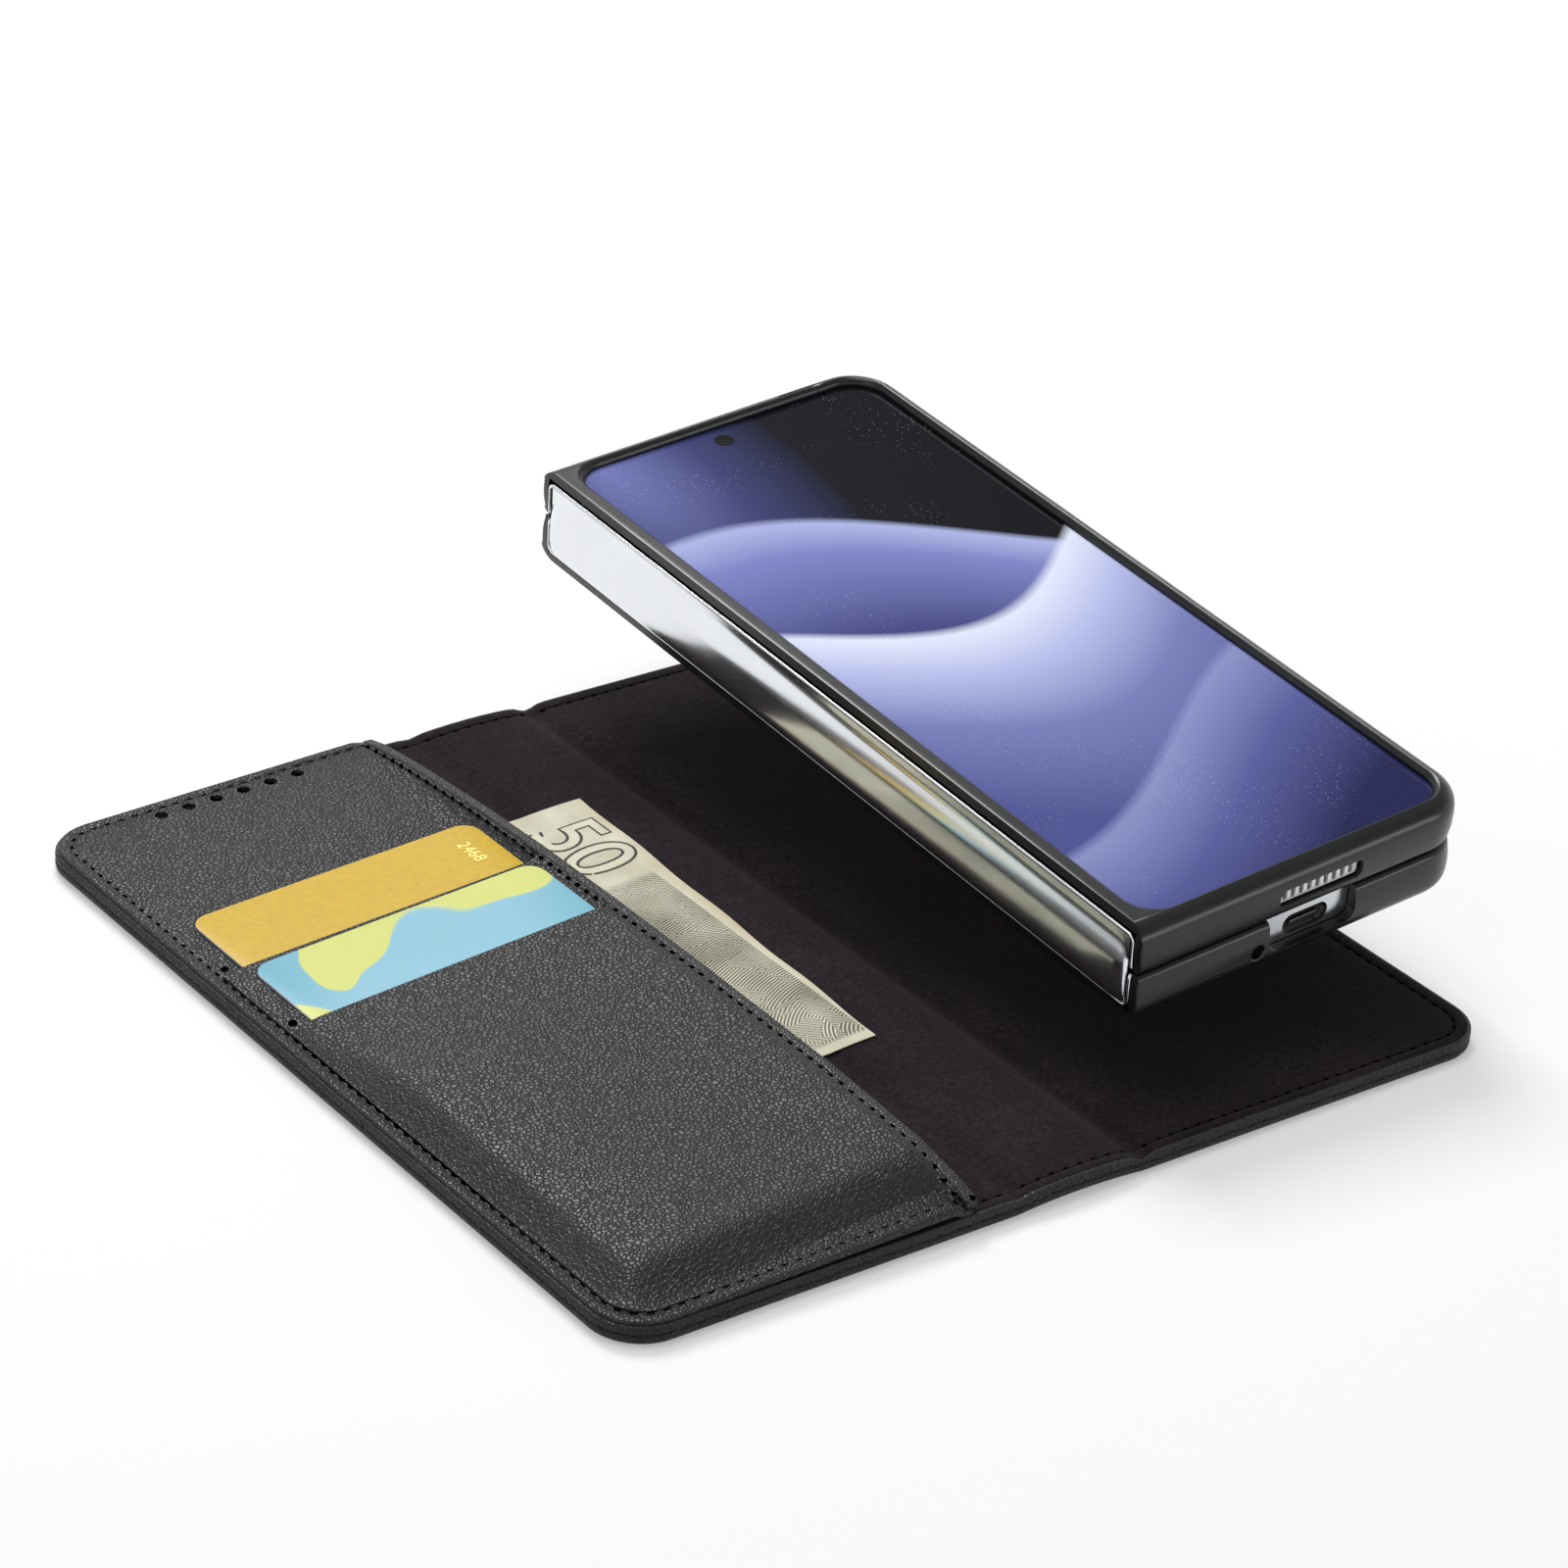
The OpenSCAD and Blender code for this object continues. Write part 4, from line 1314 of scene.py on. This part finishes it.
def make_charging_port():
    """The charging port: a bright rolled ring, its tongue, and a dark oval behind them as painted shade."""
    low, high = case_box("usb_socket")
    centre = (low + high) / 2
    front = rear_low.y
    ring = oval_rod("port_ring", centre, 4.75 * mm, 1.85 * mm, front - 0.14 * mm, front + 1.2 * mm)
    bevel_where(ring, lambda edge: all_at(edge, 1, front - 0.14 * mm), 0.3 * mm, 4)
    cut_out(ring, oval_rod("port_mouth", centre, 3.95 * mm, 1.15 * mm, front - 2 * mm, front + 3 * mm))
    finish_case_piece(ring, grille_bright, "phone_base", "phone_body", ("usb_socket",))
    tongue = block("port_tongue", (centre.x - 2.9 * mm, front + 0.35 * mm, centre.z - 0.3 * mm),
                   (centre.x + 2.9 * mm, front + 1.3 * mm, centre.z + 0.3 * mm))
    soften(tongue, 0.1 * mm, 2, 50)
    finish_case_piece(tongue, key_metal, "phone_base", "phone_body")
    # A dark oval behind the mouth: painted shade inside the port.
    dark = oval_rod("port_dark", centre, 4.1 * mm, 1.3 * mm, front + 0.95 * mm, front + 1.1 * mm)
    finish_case_piece(dark, dark_felt, "phone_base")


def make_lenses():
    """Three camera lenses: a stepped ring, a dark well and a domed glass in each."""
    low, high = case_box("camera_lenses")
    top = case_box("camera_plate")[0].z
    radius = (high.x - low.x) / 2
    rings = []
    domes = []
    for index in range(3):
        x = (low.x + high.x) / 2
        y = low.y + radius + (high.y - low.y - 2 * radius) * index / 2
        ring = rod("lens_ring", (x, y, top - 0.1 * mm), 2, radius + 0.7 * mm, 0.7 * mm, 48)
        step_in(ring, faces_down, (0.75 * mm, 0), (0.3 * mm, -0.35 * mm))
        soften(ring, 0.12 * mm, 2, 50)
        rings.append(ring)
        dome = rod("lens_dome", (x, y, top - 0.02 * mm), 2, radius - 0.35 * mm, 0.5 * mm, 48)
        step_in(dome, faces_down, (radius * 0.4, 0.1 * mm), (radius * 0.2, 0.03 * mm))
        domes.append(dome)
    finish_case_piece(join("lens_rings", rings), key_metal, "phone_base", "key_metal")
    finish_case_piece(join("lens_domes", domes), dark_glass, "phone_base", "dark_glass",
                      ("camera_lenses",), 60)


def make_hinge_cover():
    """The chrome hinge cover: a crowned band with rounded ends."""
    low, high = case_box("hinge_cover")
    high.x = low.x + 1.18 * mm
    cover = block("hinge_cover_chrome", low, high)
    cut_lines(cover, 2, spread(low.z, high.z, 0.8 * mm))
    ends = (0.15, 0.35, 0.6, 0.9, 1.3, 1.8, 2.4)
    cut_lines(cover, 1, [low.y + e * mm for e in ends] + [high.y - e * mm for e in ends] + spread(
        low.y + 3 * mm, high.y - 3 * mm, 25 * mm))
    middle_z = (low.z + high.z) / 2
    half_z = (high.z - low.z) / 2
    lean_most = 0.4 * mm

    def crown(place):
        if place.x > low.x + 0.5 * mm:
            return place
        across = abs(place.z - middle_z) / half_z
        lean = lean_most * (place.z - middle_z) / half_z
        brow = 0.85 * mm * max(0, (lean / lean_most - 0.1) / 0.9) ** 1.3
        rim = 0.75 * mm * (1 - math.sqrt(max(0, 1 - (across * 0.97) ** 6)))
        bulge = 0.4 * mm * across ** 2 + lean + brow + rim
        end = min(place.y - low.y, high.y - place.y) / (2.4 * mm)
        tip = 1.1 * mm * (1 - math.sqrt(max(0, 1 - (1 - min(1, end)) ** 2)))
        return Vector((min(high.x - 0.12 * mm, place.x + bulge + tip), place.y, place.z))

    shape(cover, crown)
    give(cover, hinge_chrome)
    # The faces that look into the case take the dark case plastic: painted shade in the slit beside the cover.
    cover.data.materials.append(case_plastic)
    for face in cover.data.polygons:
        face.material_index = int(face.normal.x > 0.9)
    smooth(cover, 50)
    seat_in_case(cover)
    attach(cover, "phone_hinge")
    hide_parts("hinge_cover")
    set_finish(cover, "hinge_chrome")
    return cover


hinge_cover = make_hinge_cover()
make_case_front()
make_case_back()
upper_pivot = (case_frame.inverted() @ Vector(joints["front_hinge"]["pos_m"])).z
lower_pivot = (case_frame.inverted() @ Vector(joints["rear_hinge"]["pos_m"])).z
make_body_trim("upper_trim", lid_high.z - 0.42 * mm, upper_pivot, "phone_lid")
make_body_trim("lower_trim", rear_low.z + 0.42 * mm, lower_pivot, "phone_base")


def node_finish(material, *names):
    """Gives CAD nodes a better finish."""
    for name in names:
        for slot in frame["nodes"][name].material_slots:
            slot.material = material


def screen_picture(name):
    """Cover glass over a lit picture: soft violet dunes against a dark sky with a dusting of sparkle."""
    material, place = new_finish(name, (0.2, 0.22, 0.6), 0.16)
    turn = case_frame.inverted()
    local = add(material, "Mapping", {"vector_type": "POINT"}, Vector=place,
                Location=turn.to_translation(), Rotation=turn.to_euler())
    parts = add(material, "SeparateXYZ", Vector=local.outputs["Vector"])
    across = maths(material, "MULTIPLY", parts.outputs["X"], 1000 / 66)
    along = maths(material, "MULTIPLY", parts.outputs["Y"], 1000 / 158)

    def dune(level, swing, waves, start, tilt):
        """How far a place lies above a dune's crest."""
        crest = maths(material, "SINE", maths(material, "MULTIPLY_ADD", across, waves, start))
        lifted = maths(material, "MULTIPLY_ADD", crest, swing, level)
        return maths(material, "SUBTRACT", along, maths(material, "MULTIPLY_ADD", across, tilt, lifted))

    def layer(below, height, colours):
        """Lays one dune, lightest along its crest, over the picture so far."""
        tone = ramp(material, maths(material, "MULTIPLY", height, -1.6), colours)
        edge = add(material, "MapRange", Value=height, From_Min=-0.008, From_Max=0.008)
        cover = ramp(material, edge.outputs["Result"], [(0.0, grey(1)), (1.0, grey(0))])
        return mix(material, cover, below, tone)

    flat = add(material, "CombineXYZ", X=across, Y=along)
    glow = add(material, "VectorMath", {"operation": "DISTANCE"}, i0=flat.outputs["Vector"],
               i1=(0.15, 1.0, 0))
    sky = ramp(material, glow.outputs["Value"], [
        (0.0, (0.16, 0.18, 0.44)), (0.25, (0.05, 0.055, 0.17)), (0.5, (0.007, 0.007, 0.012)),
        (1.0, (0.004, 0.004, 0.006))])
    far = layer(sky, dune(0.80, 0.07, 3.4, 0.4, -0.16), [
        (0.0, (0.42, 0.47, 0.76)), (0.12, (0.20, 0.22, 0.53)), (0.4, (0.06, 0.065, 0.22))])
    middle = layer(far, dune(0.60, 0.08, 3.8, 2.6, 0.02), [
        (0.0, (0.76, 0.81, 0.95)), (0.14, (0.46, 0.50, 0.79)), (0.32, (0.19, 0.21, 0.48)),
        (0.62, (0.08, 0.092, 0.29))])
    near = layer(middle, dune(0.20, 0.06, 3.2, 4.3, 0.10), [
        (0.0, (0.27, 0.30, 0.58)), (0.18, (0.10, 0.112, 0.33)), (0.4, (0.02, 0.022, 0.09))])
    dust = add(material, "TexVoronoi", {"feature": "F1"}, Vector=place, Scale=1500)
    spark = ramp(material, dust.outputs["Distance"],
                 [(0.0, grey(0.75)), (0.09, grey(0.5)), (0.14, grey(0))])
    night = ramp(material, noise(material, place, 45, 2), [(0.5, grey(0)), (0.62, grey(1))])
    dots = maths(material, "MULTIPLY", spark, night)
    link(material, mix(material, 0.8, near, dots, blend_type="ADD"), "Base Color")
    set_sockets(material, Specular_IOR_Level=0.1)
    return material


glass = screen_picture("screen_picture")
dark_glass = bright_metal("dark_glass", (0.01, 0.01, 0.012), 0.06)
set_sockets(dark_glass, Metallic=0.0, Specular_IOR_Level=0.15)
node_finish(glass, "cover_glass")
node_finish(phone_metal, "phone_rear_half", "phone_front_half")
node_finish(dark_glass, "inner_screen_rear", "inner_screen_front")


def make_inner_display(name, screen, body, low_z, high_z):
    """One half of the inner display's flexible glass, which runs on over the hinge to the fold."""
    low, high = case_box(screen)
    display = block(name, (0.42 * mm, low.y, low_z), (high.x, high.y, high_z))
    bevel_where(display, lambda edge: reach(edge, 2) > 0.05 * mm and all_at(edge, 0, high.x),
                3.4 * mm, 6)
    finish_case_piece(display, dark_glass, body, "dark_glass")


make_inner_display("inner_display_rear", "inner_screen_rear", "phone_base",
                   rear_high.z + 0.01 * mm, rear_high.z + 0.12 * mm)
make_inner_display("inner_display_front", "inner_screen_front", "phone_lid",
                   lid_low.z - 0.12 * mm, lid_low.z - 0.01 * mm)
node_finish(key_metal, "camera_plate", "power_key", "volume_key")
node_finish(grille_metal, "case_steel_plate")
node_finish(pin_steel, "hinge_pins", "back_magnets")
make_lenses()
make_grille()
make_charging_port()


# ---- cards ----
def card_finish(name, ground, second=None):
    """Printed plastic card, plain or with soft patches in a second colour."""
    material, place = new_finish(name, ground, 0.38)
    if second:
        pools = noise(material, place, 34, 0.6, {"noise_dimensions": "2D"}, Distortion=0.6)
        fade = noise(material, place, 14, 0, {"noise_dimensions": "2D"})
        tone = ramp(material, fade, [(0.35, shaded(ground, 0.8)), (0.6, shaded(ground, 0.8, 0.15))])
        patches = ramp(material, pools, [(0.515, grey(0)), (0.525, grey(1))])
        tone = mix(material, patches, tone, (*second, 1))
    else:
        grain = noise(material, place, 900, 3)
        tone = ramp(material, grain, [(0.35, shaded(ground, 0.9)), (0.65, ground)])
    link(material, tone, "Base Color")
    set_sockets(material, Coat_Weight=0.1, Coat_Roughness=0.2, Specular_IOR_Level=0.3)
    return material


gold_card = card_finish("gold_card", (0.69, 0.455, 0.034))
blue_card = card_finish("blue_card", (0.15, 0.50, 0.66), (0.68, 0.72, 0.20))
card_core = satin_plastic("card_core", (0.72, 0.74, 0.74), 0.5)


def make_card(name, node, finish, body):
    """A bank card, rounded at its corners, lying on the filled pocket."""
    low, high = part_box(node)
    card = block(name, low, high)
    round_upright(card, card_corner, 6)
    soften(card, 0.12 * mm, 2, 50)
    cut_lines(card, 0, spread(low.x, high.x, 9 * mm))
    shape(card, lambda place: Vector((place.x, place.y, settle(Vector((place.x, 0, place.z))).z)))
    finish_pocket_piece(card, finish, body, (node,))
    dress_sides(card, card_core, 0.8)
    return card


upper_card = make_card("gold_bank_card", "upper_card", gold_card, "card_upper")
lower_card = make_card("blue_bank_card", "lower_card", blue_card, "card_lower")


def plain_figures(name, words, height, extrude):
    """Plain numerals, made a mesh that reads towards the folio's near end, centred on its place."""
    bpy.ops.object.select_all(action="DESELECT")
    bpy.ops.object.text_add(location=(0, 0, 0))
    piece = bpy.context.object
    piece.data.body = words
    piece.data.align_x = "CENTER"
    piece.data.align_y = "CENTER"
    piece.data.size = height / 0.7
    piece.data.extrude = extrude
    piece.data.resolution_u = 6
    bpy.ops.object.convert(target="MESH")
    piece = call(bpy.context.object, name)
    piece.rotation_euler = (0, 0, -math.pi / 2)
    fix_in_place()
    return piece


def note_skew(x, y):
    """How far the note's free edge is drawn in towards the folio's near end."""
    return (3.4 * mm * (note_high.y - y) / (note_high.y - note_low.y)
            * ease(x, hem_edge - 12 * mm, note_high.x))


def note_height(x, y):
    """How the note lies: flat in its pocket, over the spine's arch, its near corner lifted."""
    free = ease(x, hem_edge - 2 * mm, note_high.x)
    wave = 0.05 * mm * free * math.sin((y - note_low.y) / (6.5 * mm)) * math.sin((x - y) / (11 * mm))
    down = ease(-y, 5 * mm, -note_low.y + 4 * mm)
    curl = 0.06 * mm * free * down ** 2
    return cover_top + 0.08 * mm + max(0, spine_arch(x)) + 0.08 * mm * free + wave + curl


def make_note():
    """The folded banknote, thin and slightly waved, with a plain numeral."""
    sheet = block("paper_note", (note_low.x, note_low.y, 0),
                  (note_high.x, note_high.y, note_thickness))
    cut_lines(sheet, 0, spread(note_low.x, note_high.x, 2 * mm))
    cut_lines(sheet, 1, spread(note_low.y, note_high.y, 2 * mm))

    def lie(place):
        ragged = (0.18 * mm * math.sin(place.y / (4.1 * mm))
                  * ease(place.x, note_high.x - 3 * mm, note_high.x))
        x = place.x + ragged - note_skew(place.x, place.y)
        return Vector((x, place.y, note_height(x, place.y) + place.z))

    shape(sheet, lie)
    give(sheet, note_paper)
    smooth(sheet, 50)
    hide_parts("banknote")
    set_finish(sheet, "note_paper")
    pieces = [sheet]
    middle = Vector((note_high.x - 9.2 * mm, note_high.y - 14 * mm, 0))
    for name, rise, grow, finish in (("note_numeral_edge", 0.17, 0.55, note_ink),
                                     ("note_numeral", 0.182, 0.0, note_pale)):
        figure = plain_figures(name, "50", 12.5 * mm, 0.0)
        if grow:
            start_work(figure)
            bpy.ops.mesh.select_all(action="SELECT")
            bpy.ops.mesh.remove_doubles(threshold=0.00001)
            end_work()
            thicken_flat(figure, grow * mm)
        start_work(figure)
        bpy.ops.mesh.select_all(action="SELECT")
        bpy.ops.mesh.quads_convert_to_tris()
        bpy.ops.mesh.subdivide(number_cuts=2)
        end_work()
        shape(figure, lambda place, up=rise: Vector((
            place.x + middle.x, place.y + middle.y,
            note_height(place.x + middle.x, place.y + middle.y) + up * mm)))
        give(figure, finish)
        pieces.append(figure)
    for piece in pieces:
        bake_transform(piece)


def thicken_flat(figure, width):
    """Widens flat figures all round, by moving their rim outward in their own plane."""
    shape_data = bmesh.new()
    shape_data.from_mesh(figure.data)
    moves = {}
    for edge in shape_data.edges:
        if len(edge.link_faces) != 1:
            continue
        face = edge.link_faces[0]
        along = (edge.verts[1].co - edge.verts[0].co).normalized()
        out = along.cross(Vector((0, 0, 1)))
        if (edge.verts[0].co + edge.verts[1].co).dot(out) / 2 < face.calc_center_median().dot(out):
            out = -out
        for vertex in edge.verts:
            moves.setdefault(vertex.index, Vector()).__iadd__(out)
    shape_data.verts.ensure_lookup_table()
    for index, move in moves.items():
        if move.length > 1e-9:
            shape_data.verts[index].co += move.normalized() * width
    shape_data.to_mesh(figure.data)
    shape_data.free()


def printed_paper(name):
    """Cream banknote paper with fine engraved lines, a worn tan edge and a plain rosette."""
    material, place = new_finish(name, (0.68, 0.66, 0.5), 0.85)
    from_edge = add(material, "Mapping", Vector=place,
                    Location=(-note_high.x, -note_low.y, 0)).outputs["Vector"]
    parts = add(material, "SeparateXYZ", Vector=from_edge)
    inward = maths(material, "MULTIPLY", maths(material, "MULTIPLY", parts.outputs["X"], -1 / mm), 0.1)
    along = maths(material, "MULTIPLY", parts.outputs["Y"], 1 / (88 * mm))
    cloud = noise(material, place, 130, 3)
    paper = ramp(material, cloud, [(0.3, (0.60, 0.57, 0.42)), (0.7, (0.74, 0.72, 0.58))])
    worn = ramp(material, inward, [(0.0, grey(1)), (0.1, grey(0.75)), (0.34, grey(0))])
    age = ramp(material, along, [(0.45, grey(1)), (0.8, grey(0.25))])
    edged = mix(material, maths(material, "MULTIPLY", worn, age), paper, (0.58, 0.41, 0.23, 1))
    rings = add(material, "TexWave", {"wave_type": "RINGS", "rings_direction": "SPHERICAL"},
                Vector=from_edge, Scale=560, Distortion=1.5, Detail=1, Detail_Scale=90)
    cross = add(material, "TexWave", {"bands_direction": "DIAGONAL"},
                Vector=place, Scale=640, Distortion=5, Detail=1, Detail_Scale=60)
    scroll = noise(material, place, 150, 0.5, {"noise_dimensions": "2D"}, Distortion=1.6)
    leaf = ramp(material, scroll, [(0.49, grey(0)), (0.51, grey(1))])
    weave = add(material, "Mix", {"data_type": "FLOAT"}, i0=leaf, i2=rings.outputs["Fac"],
                i3=cross.outputs["Fac"])
    dark = noise(material, place, 75, 1, {"noise_dimensions": "2D"})
    level = add(material, "MapRange", Value=dark, From_Min=0.35, From_Max=0.65,
                To_Min=-0.18, To_Max=0.22)
    worked = maths(material, "ADD", weave.outputs[0], level.outputs["Result"])
    ink = ramp(material, worked, [(0.36, grey(0)), (0.5, grey(1))])
    field = ramp(material, along, [(0.02, grey(0)), (0.03, grey(1)), (0.68, grey(1)), (0.70, grey(0.1))])
    inside = ramp(material, inward, [(0.36, grey(0)), (0.38, grey(1))])
    where = maths(material, "MULTIPLY", field, inside)
    strength = maths(material, "MULTIPLY", maths(material, "MULTIPLY", ink, where), 0.88)
    link(material, mix(material, strength, edged, (0.045, 0.05, 0.035, 1)), "Base Color")
    add_bump(material, noise(material, place, 2600, 3), 0.2, 0.00005)
    return material


note_low, note_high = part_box("banknote")
note_paper = printed_paper("note_paper")
note_ink = satin_plastic("note_ink", (0.05, 0.055, 0.04), 0.8)
note_pale = satin_plastic("note_pale", (0.66, 0.65, 0.5), 0.85)
make_note()


def make_card_digits():
    """Four plain embossed numerals on the gold card."""
    digits = plain_figures("card_digits", "2468", 2.3 * mm, 0.05 * mm)
    soften(digits, 0.02 * mm, 1, 40)
    place, normal = place_by_point(upper_card, image_points["card_digits"])
    stand_on(digits, place + normal * 0.015 * mm, normal)
    give(digits, gold_digits)
    smooth(digits)
    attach(digits, "card_upper")
    crush(digits)
    return digits


gold_digits = bright_metal("gold_digits", (0.85, 0.6, 0.2), 0.3)
card_digits = make_card_digits()


def make_selfie_camera():
    """The small camera that shows through the cover glass."""
    eye = rod("selfie_camera", (0, 0, 0), 2, 1.75 * mm, 0.1 * mm, 32)
    step_in(eye, faces_up, (0.55 * mm, 0), (0.25 * mm, -0.03 * mm))
    stand_on(eye, *place_by_point(frame["nodes"]["cover_glass"], image_points["selfie_camera"]))
    give(eye, dark_glass)
    smooth(eye, 40)
    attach(eye, "phone_lid")
    return eye


selfie_camera = make_selfie_camera()

# ---- floor, light and background ----
scene = bpy.context.scene
scene.view_settings.view_transform = "Standard"


def make_floor():
    """A plain white floor that keeps the folio's soft shadow."""
    bpy.ops.object.select_all(action="DESELECT")
    bpy.ops.mesh.primitive_plane_add(size=12, location=(0, 0, -0.02 * mm))
    floor = bpy.context.object
    floor.name = "floor"
    material = bpy.data.materials.new("floor_paper")
    material.use_nodes = True
    nodes = material.node_tree.nodes
    nodes.remove(nodes["Principled BSDF"])
    path = add(material, "LightPath").outputs
    seen = maths(material, "MAXIMUM", path["Is Camera Ray"], path["Is Glossy Ray"])
    paper = add(material, "BsdfDiffuse", Color=(0.97, 0.97, 0.97, 1))
    white = add(material, "Emission", Color=(1, 1, 1, 1), Strength=1)
    both = add(material, "MixShader", i0=maths(material, "MULTIPLY", seen, 0.34), i1=paper.outputs[0],
               i2=white.outputs[0])
    link(material, both.outputs[0], nodes["Material Output"].inputs["Surface"])
    floor.data.materials.append(material)
    floor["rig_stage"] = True


def add_softbox(name, place, aim, width, power):
    """A square soft light that looks at a place."""
    data = bpy.data.lights.new(name, "AREA")
    data.size = width
    data.energy = power
    light = bpy.data.objects.new(name, data)
    bpy.context.collection.objects.link(light)
    light.location = place
    light.rotation_euler = (Vector(aim) - Vector(place)).to_track_quat("-Z", "Y").to_euler()
    return light


def make_world():
    """White at the horizon where the camera, metal and glass see it, and a plain fill for the rest."""
    world = bpy.data.worlds.new("studio")
    world.use_nodes = True
    path = add(world, "LightPath").outputs
    way = add(world, "SeparateXYZ", Vector=add(world, "TexCoord").outputs["Generated"])
    dome = ramp(world, way.outputs["Z"], [(0.0, grey(1.0)), (0.12, grey(1.0)), (0.32, grey(0.55)),
                                          (0.55, grey(0.38)), (0.8, grey(0.45))])
    lit = mix(world, path["Is Glossy Ray"], (0.28, 0.28, 0.29, 1), dome)
    seen = maths(world, "MAXIMUM", path["Is Camera Ray"], path["Is Transmission Ray"])
    ground = world.node_tree.nodes["Background"]
    link(world, mix(world, seen, lit, (1, 1, 1, 1)), ground.inputs["Color"])
    ground.inputs["Strength"].default_value = 1
    scene.world = world


make_floor()
make_world()
add_softbox("top_softbox", (-0.1, 0.15, 1.15), (0, 0, 0), 0.6, 4.0)
add_softbox("back_softbox", (0.17, 0.74, 0.98), (-0.06, -0.05, 0), 0.46, 9.5)
add_softbox("front_softbox", (0.72, -1.02, 0.2), (0.04, -0.02, 0.06), 0.32, 1.3)
add_softbox("left_softbox", (-1.0, -0.2, 0.5), (0, 0, 0.02), 0.5, 1.0)


def name_slots():
    """Names the record's slot that each new piece takes its finish from."""
    slots = {"black_leather": (edge_leather,), "pocket_leather": (pocket_leather,), "suede": (suede,),
             "thread": (thread, lining_thread, needle_hole), "gold_card": (gold_card, gold_digits),
             "blue_card": (blue_card,), "note_paper": (note_paper, note_ink, note_pale),
             "case_plastic": (case_plastic,), "hinge_chrome": (hinge_chrome,),
             "key_metal": (key_metal,), "dark_glass": (dark_glass,), "grille_metal": (grille_bright,),
             "phone_body": (dark_felt,)}
    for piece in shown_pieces():
        if "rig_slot" not in piece and piece.name not in frame["nodes"]:
            finish = piece.material_slots[0].material
            for name, finishes in slots.items():
                if finish in finishes:
                    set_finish(piece, name)


name_slots()


def shows(place, sheet):
    """True if nothing stands between the camera and a place of the object."""
    start = camera.matrix_world.translation
    way = place - start
    hit, found, _, _, _, _ = scene.ray_cast(sheet, start, way.normalized())
    return not hit or (found - start).length > way.length - 0.25 * mm


def places_of(piece, sheet):
    """Where the vertices of a finished piece lie."""
    shown = piece.evaluated_get(sheet)
    return [shown.matrix_world @ vertex.co for vertex in shown.data.vertices]


def seen_vertices(piece, sheet):
    """Where the vertices of a piece that show are seen."""
    return [seen_at(place) for place in places_of(piece, sheet) if shows(place, sheet)]


def outermost(pieces, sheet, worth):
    """Where the vertex that shows furthest to one side is seen."""
    places = [place for piece in pieces for place in places_of(piece, sheet)]
    places.sort(key=lambda place: worth(seen_at(place)), reverse=True)
    for place in places[:4000]:
        if shows(place, sheet):
            return seen_at(place)
    return seen_at(places[0])


def middle_of(seen):
    """The middle of what shows."""
    return tuple((max(place[axis] for place in seen) + min(place[axis] for place in seen)) / 2
                 for axis in (0, 1))


def write_points():
    """Finds where each thing shows in the photograph's frame."""
    bpy.context.view_layer.update()
    sheet = bpy.context.evaluated_depsgraph_get()
    everything = [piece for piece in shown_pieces() if piece.type == "MESH"]
    found = {
        "left_edge": outermost(everything, sheet, lambda seen: -seen[0]),
        "right_edge": outermost(everything, sheet, lambda seen: seen[0]),
        "top_edge": outermost(everything, sheet, lambda seen: -seen[1]),
        "bottom_edge": outermost(everything, sheet, lambda seen: seen[1]),
        "gold_card_corner": outermost([upper_card], sheet, lambda seen: seen[0] - 0.4 * seen[1]),
        "blue_card_corner": outermost([lower_card], sheet, lambda seen: -seen[0]),
        "hem_top_corner": outermost([pocket_hem], sheet, lambda seen: -seen[1]),
        "hem_bottom_corner": outermost([pocket_hem], sheet, lambda seen: seen[1]),
        "hinge_cover_end": outermost([hinge_cover], sheet, lambda seen: seen[1]),
        "microphone_hole": seen_at(case_frame @ microphone_place),
    }
    hole_low, hole_high = sound_hole_row()
    panel = [tree_of(pocket_panel)]
    for name, hole in (("sound_hole_outer", hole_low), ("sound_hole_inner", hole_high)):
        rim = max(height_on(panel, hole.x + across, hole.y) for across in (-1.6 * mm, 1.6 * mm))
        found[name] = seen_at((hole.x, hole.y, rim))
    for piece in tacks + [card_digits, selfie_camera]:
        seen = seen_vertices(piece, sheet)
        if seen:
            found[piece.name] = middle_of(seen)


write_points()
